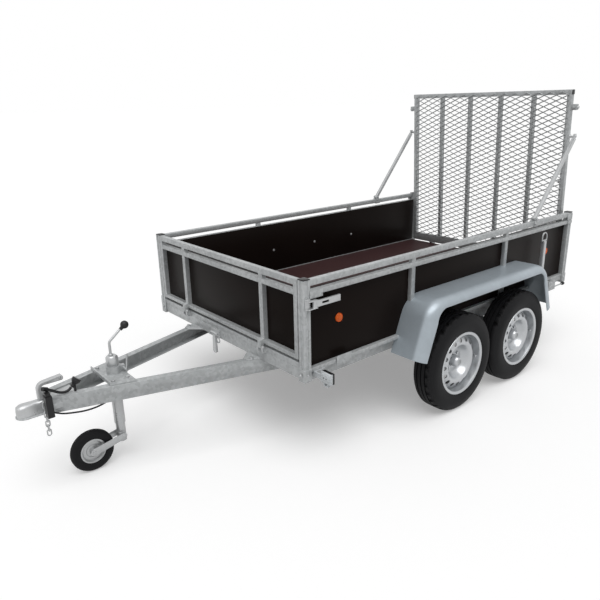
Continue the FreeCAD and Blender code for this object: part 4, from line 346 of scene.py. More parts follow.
def new_group(name, outputs, **values):
    """An empty group with a place, two shades, its own values, and its two end nodes."""
    group = bpy.data.node_groups.new(name, "ShaderNodeTree")
    inputs = ["Vector", "Dark", "Light"] + [key.replace("_", " ") for key in values]
    for way, labels in (("INPUT", inputs), ("OUTPUT", outputs)):
        for label in labels:
            kind = SOCKET_KIND.get(label, "NodeSocketFloat")
            socket = group.interface.new_socket(label, in_out=way, socket_type=kind)
            if way == "INPUT" and label not in SOCKET_KIND:
                socket.default_value = values[label.replace(" ", "_")]
    return group, group.nodes.new("NodeGroupInput"), group.nodes.new("NodeGroupOutput")


def mottle_group():
    """Cloudy zinc with crystals: a shade, a roughness and a bump height from a place."""
    group, into, out = new_group("Zinc mottle", ("Color", "Roughness", "Height"),
                                 Crystal_Scale=60.0, Crystal_Share=0.4, Smooth=0.35, Rough=0.6)
    links = group.links
    crystals = add_node(group, "ShaderNodeTexVoronoi", feature="F1")
    clouds = add_node(group, "ShaderNodeTexNoise", Scale=5.0, Detail=6.0, Roughness=0.62)
    streaks = add_node(group, "ShaderNodeTexNoise", Scale=42.0, Detail=3.0)
    for texture in (crystals, clouds, streaks):
        links.new(into.outputs["Vector"], texture.inputs["Vector"])
    links.new(into.outputs["Crystal Scale"], crystals.inputs["Scale"])
    grey = add_node(group, "ShaderNodeRGBToBW")
    links.new(crystals.outputs["Color"], grey.inputs["Color"])
    share = add_mix(group, "FLOAT", into.outputs["Crystal Share"], clouds.outputs["Fac"],
                    grey.outputs["Val"])
    spread = add_node(group, "ShaderNodeMapRange", interpolation_type="SMOOTHSTEP",
                      From_Min=0.25, From_Max=0.75)
    links.new(share, spread.inputs["Value"])
    shade = add_mix(group, "RGBA", spread.outputs["Result"], into.outputs["Dark"],
                    into.outputs["Light"])
    rough = add_mix(group, "FLOAT", spread.outputs["Result"], into.outputs["Rough"],
                    into.outputs["Smooth"])
    height = add_node(group, "ShaderNodeMath", operation="MULTIPLY_ADD")
    height.inputs[1].default_value = 0.5
    links.new(streaks.outputs["Fac"], height.inputs[0])
    links.new(share, height.inputs[2])
    links.new(shade, out.inputs["Color"])
    links.new(rough, out.inputs["Roughness"])
    links.new(height.outputs[0], out.inputs["Height"])


def texture_group(name, kind, signal):
    """One fine texture as a colour between two shades, and as a bump height."""
    group, into, out = new_group(name, ("Color", "Height"), Scale=200.0, Detail=0.0)
    texture = group.nodes.new(kind)
    for socket in ("Vector", "Scale", "Detail"):
        group.links.new(into.outputs[socket], texture.inputs[socket])
    shade = add_mix(group, "RGBA", texture.outputs[signal], into.outputs["Dark"],
                    into.outputs["Light"])
    group.links.new(shade, out.inputs["Color"])
    group.links.new(texture.outputs[signal], out.inputs["Height"])


def new_material(name, **values):
    """Makes a finish's material; gives its tree and its Principled shader."""
    material = bpy.data.materials.new(name.replace("_", " ").capitalize())
    FINISHES[name] = material
    material.use_nodes = True
    shader = material.node_tree.nodes["Principled BSDF"]
    for key, value in values.items():
        shader.inputs[key.replace("_", " ")].default_value = value
    return material.node_tree, shader


def place_group(tree, name, **values):
    """A node group on object coordinates, with its own values."""
    node = add_node(tree, "ShaderNodeGroup", node_tree=bpy.data.node_groups[name], **values)
    place = tree.nodes.new("ShaderNodeTexCoord").outputs["Object"]
    tree.links.new(place, node.inputs["Vector"])
    return node


def shade_of(colour, factor):
    """A colour made lighter or darker, with its alpha."""
    return [min(1.0, channel * factor) for channel in colour] + [1.0]


def tint(tree, shader, name, colour, dark, light, **values):
    """Colours a shader through a node group, between two shades of a colour."""
    node = place_group(tree, name, Dark=shade_of(colour, dark), Light=shade_of(colour, light),
                       **values)
    tree.links.new(node.outputs["Color"], shader.inputs["Base Color"])
    return node


def bump_from(tree, node, shader, strength, distance):
    """Bumps a shader by a node group's height."""
    bump = add_node(tree, "ShaderNodeBump", Strength=strength, Distance=distance)
    tree.links.new(node.outputs["Height"], bump.inputs["Height"])
    tree.links.new(bump.outputs["Normal"], shader.inputs["Normal"])


def zinc_material(name, colour, metallic, contrast, bump, **values):
    """A zinc finish: how far its shades spread, its bump, and the mottle's own values."""
    tree, shader = new_material(name, Metallic=metallic)
    node = tint(tree, shader, "Zinc mottle", colour, 1 - contrast, 1 + contrast, **values)
    tree.links.new(node.outputs["Roughness"], shader.inputs["Roughness"])
    bump_from(tree, node, shader, strength=bump, distance=0.001)


def film_material(name, colour, roughness, shine, gritted):
    """Resin-filmed plywood, faintly clouded, with a smooth or a gritted face."""
    tree, shader = new_material(name, Roughness=roughness, Specular_IOR_Level=shine)
    tint(tree, shader, "Grain", colour, 0.8, 1.25, Scale=3.0, Detail=5.0)
    if gritted:
        fine = place_group(tree, "Cells", Scale=320.0)
    else:
        fine = place_group(tree, "Grain", Scale=320.0, Detail=2.0)
    bump_from(tree, fine, shader, strength=0.5 if gritted else 0.06, distance=0.0006)


def plain_material(name, colour, bump=0.15, **values):
    """A moulded or painted finish with a fine grain."""
    tree, shader = new_material(name, **values)
    node = tint(tree, shader, "Grain", colour, 0.85, 1.15, Scale=180.0, Detail=3.0)
    bump_from(tree, node, shader, strength=bump, distance=0.0005)


def lens_material(name, colour, fineness):
    """A moulded lens with small prisms behind its clear face."""
    tree, shader = new_material(name, Roughness=0.12, Specular_IOR_Level=0.2)
    node = tint(tree, shader, "Cells", colour, 0.7, 1.25, Scale=fineness)
    bump_from(tree, node, shader, strength=0.4, distance=0.0006)


def make_materials(colours):
    """One material for each finish, kept in FINISHES."""
    mottle_group()
    texture_group("Grain", "ShaderNodeTexNoise", "Fac")
    texture_group("Cells", "ShaderNodeTexVoronoi", "Distance")
    zinc_material("galvanised", colours.galvanised, metallic=0.30, contrast=0.13, bump=0.12,
                  Crystal_Scale=75, Crystal_Share=0.40, Smooth=0.36, Rough=0.58)
    zinc_material("zinc", colours.zinc, metallic=0.55, contrast=0.10, bump=0.10,
                  Crystal_Scale=170, Crystal_Share=0.15, Smooth=0.26, Rough=0.42)
    zinc_material("guard", colours.guard, metallic=0.35, contrast=0.09, bump=0.04,
                  Crystal_Scale=30, Crystal_Share=0.10, Smooth=0.30, Rough=0.42)
    film_material("board", colours.board, roughness=0.34, shine=0.05, gritted=False)
    film_material("floor", colours.floor, roughness=0.50, shine=0.12, gritted=True)
    plain_material("rubber", colours.rubber, bump=0.3, Roughness=0.62, Specular_IOR_Level=0.16)
    plain_material("wheel_silver", colours.rim, bump=0.04, Roughness=0.30, Metallic=0.75)
    plain_material("black_plastic", BLACK_PLASTIC, Roughness=0.42, Specular_IOR_Level=0.35)
    lens_material("reflector_amber", AMBER_LENS, 260)
    lens_material("lens_red", RED_LENS, 200)
    lens_material("lamp_white", CLEAR_LENS, 220)


def finish_of(node):
    """The finish of a CAD node: its record slot's, but the floor board has its own."""
    return "floor" if node == "floor_board" else SLOT_OF[node]


def from_front(ahead, left, up):
    """A point measured from the box's front plane."""
    return Vector((FRONT_PLANE + ahead, left, up))


def on_side(side, place, offset):
    """A point measured from a place on the left side, or its twin on the right."""
    return Vector((place[0] + offset[0], side * (place[1] + offset[1]), place[2] + offset[2]))


def facing(axis):
    """Turns the Z axis to another axis."""
    return Vector(axis).to_track_quat("Z", "Y").to_matrix().to_4x4()


def circle_point(radius, share, along=0.0):
    """A point on a circle about the Z axis, at a share of the full turn."""
    turn = FULL_TURN * share
    return Vector((math.cos(turn), math.sin(turn), 0)) * radius + Vector((0, 0, along))


def edges_of(verts):
    """All edges that meet some vertices."""
    return list({edge for vert in verts for edge in vert.link_edges})


def round_edges(work, edges, width):
    """Rounds edges over by a width."""
    bmesh.ops.bevel(work, geom=list(edges), offset=width, offset_type="OFFSET", segments=2,
                    profile=0.5, affect="EDGES", material=-1, clamp_overlap=True)


def sharp_edges(verts, angle):
    """Edges of a closed shape whose faces turn by more than an angle in degrees."""
    return [edge for edge in edges_of(verts)
            if edge.is_manifold and edge.calc_face_angle(0) > math.radians(angle)]


def spin_round(work, geom, steps):
    """Spins vertices and edges all the way round the Z axis."""
    bmesh.ops.spin(work, geom=geom, cent=(0, 0, 0), axis=(0, 0, 1), angle=FULL_TURN,
                   steps=steps, use_merge=True, use_duplicate=False)


def add_box(work, corner, opposite, width):
    """A box between two opposite corners, with rounded edges."""
    low, high = (Vector([pick(pair) for pair in zip(corner, opposite)]) for pick in (min, max))
    matrix = Matrix.Translation((low + high) / 2) @ Matrix.Diagonal((*(high - low), 1))
    verts = bmesh.ops.create_cube(work, size=1.0, matrix=matrix)["verts"]
    round_edges(work, sharp_edges(verts, BOX_CORNER), width)


def add_side_boxes(works, table, side, place):
    """The boxes of a table, measured from a place on the left or its twin on the right."""
    for key, corner, opposite, width in table:
        add_box(works[key], on_side(side, place, corner), on_side(side, place, opposite), width)


def add_rod(work, start, end, radius, sides, width=0.0):
    """A round or many-sided bar between two points."""
    start, end = Vector(start), Vector(end)
    matrix = Matrix.Translation((start + end) / 2) @ facing(end - start)
    verts = bmesh.ops.create_cone(work, cap_ends=True, segments=sides, radius1=radius,
                                  radius2=radius, depth=(end - start).length,
                                  matrix=matrix)["verts"]
    if width:
        round_edges(work, sharp_edges(verts, ROD_CORNER), width)


def add_spun(work, profile, place, steps, closed=True):
    """Spins a profile of (radius, distance along the axis) about a place's Z axis."""
    verts = [work.verts.new((radius, 0, along)) for radius, along in profile]
    pairs = list(zip(verts, verts[1:]))
    if closed:
        pairs.append((verts[-1], verts[0]))
    edges = [work.edges.new(pair) for pair in pairs]
    before = set(work.verts) - set(verts)
    spin_round(work, verts + edges, steps)
    made = [vert for vert in work.verts if vert not in before]
    bmesh.ops.transform(work, matrix=place, verts=made)


def add_bolt(work, point, axis, width):
    """A hexagon head on its washer, standing out of a face along an axis."""
    point, axis = Vector(point), Vector(axis).normalized()
    washer, head = width * WASHER_THICK, width * HEAD_THICK
    add_rod(work, point, point + axis * washer, width * WASHER_RADIUS, 20, washer * WASHER_ROUND)
    add_rod(work, point + axis * washer, point + axis * (washer + head), width * HEAD_RADIUS, 6,
            width * HEAD_ROUND)


def add_link(work, place):
    """A chain link: a ring spun from a round wire, with its halves drawn apart."""
    reach = LINK_HALF - LINK_WIRE - LINK_BEND
    before = set(work.verts)
    ring = bmesh.ops.create_circle(work, segments=LINK_SIDES, radius=LINK_WIRE,
                                   matrix=Matrix.Translation((LINK_BEND, 0, 0))
                                   @ Matrix.Rotation(math.pi / 2, 4, "X"))["verts"]
    spin_round(work, ring + edges_of(ring), LINK_STEPS)
    made = [vert for vert in work.verts if vert not in before]
    for half in (1, -1):
        side = [vert for vert in made if vert.co.y * half > MERGE]
        bmesh.ops.translate(work, verts=side, vec=(0, half * reach, 0))
    bmesh.ops.transform(work, matrix=place, verts=made)


def mesh_from(work, name):
    """Turns a bmesh into a mesh, and frees it."""
    mesh = bpy.data.meshes.new(name)
    work.to_mesh(mesh)
    work.free()
    return mesh


def new_object(name, data):
    """An object of some data, in the scene."""
    made = bpy.data.objects.new(name, data)
    bpy.context.scene.collection.objects.link(made)
    return made


def finish_piece(work, name, finish, body, replaced=(), sharp=35.0):
    """Turns a bmesh into a piece that rides on a body, with edges over an angle kept sharp."""
    bmesh.ops.remove_doubles(work, verts=work.verts, dist=MERGE)
    bmesh.ops.recalc_face_normals(work, faces=work.faces)
    mesh = mesh_from(work, name)
    mesh.shade_smooth()
    mesh.set_sharp_from_angle(angle=math.radians(sharp))
    mesh.materials.append(FINISHES[finish])
    piece = new_object(name, mesh)
    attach(piece, body)
    if replaced:
        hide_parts(*replaced)


class OBJECT_OT_trailer_finish(bpy.types.Operator):
    """Gives every CAD node its finish"""
    bl_idname = "object.trailer_finish"
    bl_label = "Finish the frame"

    def execute(self, context):
        make_materials(context.scene.trailer_finish)
        for name, node in NODES.items():
            node.data.materials.clear()
            node.data.materials.append(FINISHES[finish_of(name)])
        return {"FINISHED"}


class OBJECT_OT_trailer_cords(bpy.types.Operator):
    """Lays the lead into its parked plug and the cable along the drawbar"""
    bl_idname = "object.trailer_cords"
    bl_label = "Lay the cords"

    def execute(self, context):
        lead = add_cord("lead_cord", LEAD_ROUTE, LEAD_DIAMETER, "lead")
        cable = add_cord("cable_cord", CABLE_ROUTE, CABLE_DIAMETER, "lead_cable")
        return {"FINISHED"}


def add_cord(name, route, diameter, node):
    """A smooth cord along a route's points, in place of its plain tube."""
    data = bpy.data.curves.new(name, "CURVE")
    data.dimensions = "3D"
    data.resolution_u = 12
    data.bevel_depth = diameter / 2
    data.bevel_resolution = 4
    data.use_fill_caps = True
    spline = data.splines.new("NURBS")
    spline.points.add(len(route) - 1)
    for point, place in zip(spline.points, route):
        point.co = (*from_front(*place), 1)
    spline.order_u = 3
    spline.use_endpoint_u = True
    data.materials.append(FINISHES["black_plastic"])
    cord = new_object(name, data)
    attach(cord, "chassis")
    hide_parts(node)
    return cord


class OBJECT_OT_trailer_edges(bpy.types.Operator):
    """Rounds the edges of the folded, welded and moulded pieces"""
    bl_idname = "object.trailer_edges"
    bl_label = "Round the edges"

    def execute(self, context):
        width = context.scene.trailer_sizes.edge_round
        for name in sorted(set(NODES) - OWN_FORM):
            work = bmesh.new()
            work.from_mesh(NODES[name].data)
            bmesh.ops.remove_doubles(work, verts=work.verts, dist=MERGE)
            bmesh.ops.dissolve_limit(work, angle_limit=math.radians(FLAT_ANGLE),
                                     verts=work.verts, edges=work.edges)
            round_edges(work, sharp_edges(work.verts, NODE_CORNER), width)
            finish_piece(work, name + "_rounded", finish_of(name), BODY_OF[name], (name,))
        return {"FINISHED"}


class OBJECT_OT_trailer_tyres(bpy.types.Operator):
    """Makes the road tyres with their grooves and the jockey wheel's tyre"""
    bl_idname = "object.trailer_tyres"
    bl_label = "Make the tyres"

    def execute(self, context):
        depth = context.scene.trailer_sizes.groove_depth
        for wheel in WHEELS:
            work = bmesh.new()
            add_spun(work, tyre_profile(depth), Matrix.Identity(4), TYRE_STEPS)
            cut_slots(work, depth)
            bmesh.ops.transform(work, matrix=wheel_place(wheel), verts=work.verts)
            finish_piece(work, "tyre_tread_" + wheel, "rubber", "wheel_" + wheel,
                         ("tyre_" + wheel,))
        work = bmesh.new()
        add_spun(work, mirrored(JOCKEY_TYRE_LINE), jockey_place(), 72)
        finish_piece(work, "jockey_tyre_ribbed", "rubber", "jockey_wheel", ("jockey_tyre",))
        return {"FINISHED"}


def mirrored(half_line):
    """A closed profile from its half line and the same line on the other side."""
    return [(radius, -along) for radius, along in half_line] + half_line[::-1]


def tyre_profile(depth):
    """Bead, bulged wall, rounded shoulder and a tread with three grooves."""
    wall = [(RIM_SEAT, BEAD_HALF), (RIM_SEAT + 0.008, 0.063), (0.196, TYRE_HALF - 0.003),
            (0.226, TYRE_HALF), (0.248, TYRE_HALF - 0.003), (0.251, TYRE_HALF - 0.0045),
            (0.262, 0.0615), (0.272, 0.0555), (0.2785, 0.0485),
            (TYRE_RADIUS - CROWN_DROP, CROWN_HALF)]
    tread = []
    for centre in GROOVES:
        crown = TYRE_RADIUS - CROWN_DROP * (centre / CROWN_HALF) ** 2
        tread += [(crown, centre + GROOVE_TOP), (crown - depth, centre + GROOVE_FOOT)]
        if centre:
            tread += [(crown - depth, centre - GROOVE_FOOT), (crown, centre - GROOVE_TOP)]
    return mirrored(wall + tread)


def cut_slots(work, depth):
    """Sinks some steps of the ribs, as the tread's cross slots."""
    slots = []
    for face in work.faces:
        centre = face.calc_center_median()
        turn = math.atan2(centre.y, centre.x) % FULL_TURN
        step = int(turn / FULL_TURN * TYRE_STEPS)
        on_rib = (math.hypot(centre.x, centre.y) > TYRE_RADIUS - RIB_BAND
                  and abs(face.normal.z) < RIB_TILT)
        if on_rib and step % SLOT_EVERY == 0 and abs(centre.z) > SLOT_FROM:
            slots.append(face)
    made = bmesh.ops.extrude_face_region(work, geom=slots)["geom"]
    for vert in (item for item in made if isinstance(item, bmesh.types.BMVert)):
        reach = math.hypot(vert.co.x, vert.co.y)
        share = (reach - depth * SLOT_SHARE) / reach
        vert.co.x *= share
        vert.co.y *= share


def wheel_place(wheel):
    """Moves a wheel made about the Z axis to its axle, with its outer side outwards."""
    side = 1 if wheel.endswith("left") else -1
    centre = Vector(JOINTS["wheel_%s_spin" % wheel]["pos_m"])
    return Matrix.Translation(centre) @ facing((0, side, 0))


def jockey_place():
    """Moves a wheel made about the Z axis to the jockey wheel's axle."""
    return Matrix.Translation(Vector(JOINTS["jockey_wheel_spin"]["pos_m"])) @ facing((0, 1, 0))


class OBJECT_OT_trailer_rims(bpy.types.Operator):
    """Makes the pressed wheels with vents, bolts, valves and caps, and the jockey wheel's rim"""
    bl_idname = "object.trailer_rims"
    bl_label = "Make the wheels"

    def execute(self, context):
        disc = vented_disc()
        for wheel in WHEELS:
            work = bmesh.new()
            work.from_mesh(disc)
            add_spun(work, barrel_profile(), Matrix.Identity(4), TYRE_STEPS)
            add_spun(work, HUB_LINE, Matrix.Identity(4), 48)
            add_rod(work, VALVE_FOOT, VALVE_FOOT + VALVE_RUN, VALVE_RADIUS, 16, 0.001)
            for index in range(WHEEL_BOLTS):
                spot = circle_point(WHEEL_BOLT_CIRCLE, (index + 0.5) / WHEEL_BOLTS, WHEEL_BOLT_SEAT)
                add_bolt(work, spot, (0, 0, 1), WHEEL_BOLT_WIDTH)
            bmesh.ops.transform(work, matrix=wheel_place(wheel), verts=work.verts)
            finish_piece(work, "wheel_pressed_" + wheel, "wheel_silver", "wheel_" + wheel,
                         ("rim_" + wheel,), sharp=30)
        bpy.data.meshes.remove(disc)
        work = bmesh.new()
        add_spun(work, mirrored(JOCKEY_RIM_LINE), jockey_place(), 72)
        finish_piece(work, "jockey_rim_pressed", "zinc", "jockey_wheel", ("jockey_rim",), sharp=30)
        return {"FINISHED"}


def barrel_profile():
    """Barrel between the bead seats, with a rolled flange at each edge."""
    inner, seat = RIM_SEAT - 0.007, RIM_SEAT - 0.0003
    edge = BEAD_HALF + 0.006
    return [(inner, -edge), (RIM_FLANGE - 0.002, -edge - 0.003), (RIM_FLANGE, -edge),
            (RIM_FLANGE - 0.003, -edge + 0.003), (seat, -BEAD_HALF + 0.002),
            (seat, BEAD_HALF - 0.002), (RIM_FLANGE - 0.003, edge - 0.003), (RIM_FLANGE, edge),
            (RIM_FLANGE - 0.002, edge + 0.003), (inner + 0.002, edge), (inner, edge - 0.006)]


def vented_disc():
    """The dished disc as a mesh, with its ring of round vents cut out."""
    work = bmesh.new()
    behind = [(radius, along - DISC_SHEET) for radius, along in DISC_LINE[::-1]]
    add_spun(work, DISC_LINE + behind, Matrix.Identity(4), TYRE_STEPS)
    bmesh.ops.recalc_face_normals(work, faces=work.faces)
    disc = new_object("disc", mesh_from(work, "disc"))
    work = bmesh.new()
    for index in range(VENT_COUNT):
        back, front = (circle_point(VENT_CIRCLE, index / VENT_COUNT, along)
                       for along in (VENT_BACK, VENT_FRONT))
        add_rod(work, back, front, VENT_RADIUS, 20)
    cutters = new_object("vents", mesh_from(work, "vents"))
    cut = disc.modifiers.new("Vents", "BOOLEAN")
    cut.operation = "DIFFERENCE"
    cut.solver = "EXACT"
    cut.object = cutters
    graph = bpy.context.evaluated_depsgraph_get()
    mesh = bpy.data.meshes.new_from_object(disc.evaluated_get(graph))
    for helper in (disc, cutters):
        bpy.data.objects.remove(helper)
    return mesh


class OBJECT_OT_trailer_mesh(bpy.types.Operator):
    """Makes the ramp's expanded metal at its real pitch"""
    bl_idname = "object.trailer_mesh"
    bl_label = "Make the ramp mesh"

    def execute(self, context):
        sizes = context.scene.trailer_sizes
        width, height = sizes.diamond_width, sizes.diamond_height
        columns = int(2 * RAMP_HALF / width)
        rows = int((RAMP_MESH_HIGH - RAMP_MESH_LOW) / height)
        work = bmesh.new()
        for rise in (1, -1):
            for start in (0, 1):
                low = Vector((0, start * width / 2, start * rise * height / 2))
                high = Vector((0, (start + 1) * width / 2, (1 - start) * rise * height / 2))
                add_strand(work, low, high, sizes.strand_width)
        repeat(work, columns, Vector((0, width, 0)))
        repeat(work, rows, Vector((0, 0, height)))
        corner = (-columns * width / 2, (RAMP_MESH_LOW + RAMP_MESH_HIGH - rows * height) / 2)
        place = RAMP_PLACE @ Matrix.Translation((RAMP_FACE + STRAND_SHEET, corner[0],
                                                 corner[1] + height / 2))
        bmesh.ops.transform(work, matrix=place, verts=work.verts)
        finish_piece(work, "ramp_expanded_metal", "galvanised", "ramp", ("ramp_mesh",))
        return {"FINISHED"}


def add_strand(work, start, end, width):
    """A flat strand, turned about its length as the press leaves it."""
    run = end - start
    slope = math.atan2(run.z, run.y)
    size = (STRAND_SHEET, run.length * STRAND_LAP, width, 1)
    matrix = (Matrix.Translation((start + end) / 2) @ Matrix.Rotation(slope, 4, "X")
              @ Matrix.Rotation(STRAND_TWIST, 4, "Y") @ Matrix.Diagonal(size))
    bmesh.ops.create_cube(work, size=1.0, matrix=matrix)


def repeat(work, count, step):
    """Copies all of a mesh along a row."""
    first = list(work.verts) + list(work.edges) + list(work.faces)
    for index in range(1, count):
        made = bmesh.ops.duplicate(work, geom=first)["geom"]
        verts = [item for item in made if isinstance(item, bmesh.types.BMVert)]
        bmesh.ops.translate(work, verts=verts, vec=step * index)


class OBJECT_OT_trailer_guards(bpy.types.Operator):
    """Rolls the mudguards with smooth bends"""
    bl_idname = "object.trailer_guards"
    bl_label = "Roll the mudguards"

    def execute(self, context):
        for hand, side in HANDS:
            work = bmesh.new()
            roll_guard(work)
            matrix = Matrix.Translation((GUARD_MIDDLE, 0, 0)) @ Matrix.Diagonal((1, side, 1, 1))
            bmesh.ops.transform(work, matrix=matrix, verts=work.verts)
            finish_piece(work, "mudguard_rolled_" + hand, "guard", "bed", ("mudguard_" + hand,),
                         sharp=40)
        return {"FINISHED"}


def guard_section():
    """Closed section of the guard as (across, depth): flat, rolled edge and beaded lip."""
    centre, depth, bead = GUARD_OUT - GUARD_ROLL_ACROSS, GUARD_ROLL, GUARD_BEAD
    turns = [math.pi / 2 * step / BEND_STEPS for step in range(BEND_STEPS + 1)]
    outer = [(centre + GUARD_ROLL_ACROSS * math.sin(turn), depth - GUARD_ROLL * math.cos(turn))
             for turn in turns]
    inner = [(centre + (GUARD_ROLL_ACROSS - GUARD_SHEET) * math.sin(turn),
              depth - (GUARD_ROLL - GUARD_SHEET) * math.cos(turn)) for turn in turns[::-1]]
    round_points = [(GUARD_OUT - bead + bead * math.cos(turn),
                     GUARD_LIP_TOP - bead + bead * math.sin(turn))
                    for turn in (math.radians(degrees) for degrees in range(0, 270, 45))]
    return [(GUARD_IN, 0.0)] + outer + round_points + inner + [(GUARD_IN, GUARD_SHEET)]


def sweep(work, edges, moves):
    """Draws a section's edges along straight runs and round bends."""
    for move in moves:
        if move[0] == "run":
            made = bmesh.ops.extrude_edge_only(work, edges=edges)["geom"]
            bmesh.ops.translate(work, vec=move[1],
                                verts=[v for v in made if isinstance(v, bmesh.types.BMVert)])
        else:
            made = bmesh.ops.spin(work, geom=edges, cent=move[1], axis=(0, -1, 0),
                                  angle=move[2], steps=BEND_STEPS, use_merge=False,
                                  use_duplicate=False)["geom_last"]
        edges = [item for item in made if isinstance(item, bmesh.types.BMEdge)
                 and len(item.link_faces) == 1]
    bmesh.ops.holes_fill(work, edges=[edge for edge in work.edges if edge.is_boundary])


def roll_guard(work):
    """Draws the section up the front leg, round both bends and down the rear leg."""
    rise = math.atan(1 / GUARD_SLOPE)
    setback = GUARD_BEND * math.tan(rise / 2)
    leg = Vector((-math.cos(rise), 0, math.sin(rise)))
    inward = Vector((-math.sin(rise), 0, -math.cos(rise)))
    corner = GUARD_FOOT + leg * ((GUARD_TOP - GUARD_FOOT.z) / math.sin(rise))
    leg_run = (corner - GUARD_FOOT).length - setback
    centre = Vector((corner.x - setback, 0, GUARD_TOP - GUARD_BEND))
    mark = work.verts.layers.float.new("lip")
    verts = []
    for across, depth in guard_section():
        vert = work.verts.new(GUARD_FOOT + inward * depth + Vector((0, across, 0)))
        vert[mark] = max(0.0, depth - GUARD_SHEET) / (GUARD_LIP_TOP - GUARD_SHEET)
        verts.append(vert)
    section = [work.edges.new((verts[k - 1], verts[k])) for k in range(len(verts))]
    sweep(work, section, (
        ("run", leg * leg_run), ("bend", centre, rise), ("run", Vector((-2 * centre.x, 0, 0))),
        ("bend", Vector((-centre.x, 0, centre.z)), rise),
        ("run", Vector((leg.x, 0, -leg.z)) * leg_run)))
    widen_lips(work, mark, rise, centre, inward)


def widen_lips(work, mark, rise, centre, inward):
    """Deepens the rolled edge round the bends, from its depth on top to that on the legs."""
    extra = GUARD_LIP_LEG - GUARD_LIP_TOP
    for vert in work.verts:
        side = 1 if vert.co.x > 0 else -1
        away = Vector((abs(vert.co.x) - centre.x, 0, vert.co.z - centre.z))
        turn = math.atan2(away.x, away.z) if away.x > 0 else 0.0
        on_leg = turn >= rise - 0.001
        direction = inward if on_leg else -away.normalized()
        share = (1.0 if on_leg else turn / rise) * vert[mark]
        vert.co += Vector((direction.x * side, 0, direction.z)) * (extra * share)


class OBJECT_OT_trailer_chain(bpy.types.Operator):
    """Links the safety chain and hangs it straight down"""
    bl_idname = "object.trailer_chain"
    bl_label = "Link the chain"

    def execute(self, context):
        work = bmesh.new()
        upright = Matrix.Rotation(math.pi / 2, 4, "X")
        for index in range(CHAIN_LINKS):
            spot = from_front(CHAIN_AHEAD, CHAIN_LEFT, CHAIN_TOP - CHAIN_PITCH * index)
            turn = Matrix.Rotation(math.pi / 2 * (index % 2), 4, "Z")
            add_link(work, Matrix.Translation(spot) @ turn @ upright)
        finish_piece(work, "chain_links", "zinc", "chassis", ("safety_chain",), sharp=60)
        return {"FINISHED"}


class OBJECT_OT_trailer_jockey(bpy.types.Operator):
    """Bends the jockey wheel's crank and turns its knob"""
    bl_idname = "object.trailer_jockey"
    bl_label = "Fit the crank"

    def execute(self, context):
        foot = from_front(CRANK_AHEAD, 0, CRANK_FOOT)
        lean = math.atan2(CRANK_REACH, CRANK_LIFT)
        setback = CRANK_BEND * math.tan(lean / 2)
        along = Vector((-math.sin(lean), 0, math.cos(lean)))
        rise = CRANK_RISE - setback
        work = bmesh.new()
        ring = bmesh.ops.create_circle(work, segments=20, radius=CRANK_RADIUS,
                                       matrix=Matrix.Translation(foot))["verts"]
        length = math.hypot(CRANK_REACH, CRANK_LIFT) - setback
        sweep(work, edges_of(ring), (
            ("run", Vector((0, 0, rise))),
            ("bend", foot + Vector((-CRANK_BEND, 0, rise)), lean),
            ("run", along * length)))
        add_rod(work, foot, foot + Vector((0, 0, COLLAR_RISE)), COLLAR_RADIUS, 32, 0.002)
        finish_piece(work, "crank_bent", "zinc", BODY_OF["jockey_crank"], ("jockey_crank",),
                     sharp=50)
        low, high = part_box("crank_knob")
        ball = [(KNOB_RADIUS * math.cos(turn), KNOB_RADIUS * math.sin(turn))
                for turn in (math.radians(degrees) for degrees in range(-60, 90, 15))]
        line = KNOB_NECK + ball + [(0, KNOB_RADIUS)]
        work = bmesh.new()
        add_spun(work, line, Matrix.Translation((low + high) / 2) @ facing(along), 40,
                 closed=False)
        finish_piece(work, "knob_turned", "black_plastic", BODY_OF["crank_knob"],
                     ("crank_knob",), sharp=60)
        return {"FINISHED"}


class OBJECT_OT_trailer_lamps(bpy.types.Operator):
    """Fits the reflectors, the tail lamps and the marker lamps' lenses"""
    bl_idname = "object.trailer_lamps"
    bl_label = "Fit the lamps"

    def execute(self, context):
        works = {key: bmesh.new() for key in ("amber", "red", "clear", "black")}
        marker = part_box("front_lamps")[1]
        for hand, side in HANDS:
            for behind in REFLECTORS_BEHIND:
                spot = from_front(-behind, side * BOARD_OUT, REFLECTOR_UP)
                place = Matrix.Translation(spot) @ facing((0, side, 0))
                add_spun(works["amber"], REFLECTOR_LINE, place, 40, closed=False)
            add_side_boxes(works, TAIL_LAMP, side, TAIL_PLACE)
            add_side_boxes(works, MARKER_LAMP, side, marker)
            for screw in MARKER_SCREWS:
                spot = on_side(side, marker, screw)
                add_rod(works["black"], spot, spot + Vector((MARKER_SCREW_OUT, 0, 0)),
                        MARKER_SCREW_RADIUS, 16, 0.0004)
        finish_piece(works["amber"], "side_reflectors", "reflector_amber", "bed", ("reflectors",))
        finish_piece(works["red"], "tail_lenses", "lens_red", "bed")
        finish_piece(works["clear"], "marker_lenses", "lamp_white", "bed")
        finish_piece(works["black"], "lamp_housings", "black_plastic", "bed")
        return {"FINISHED"}


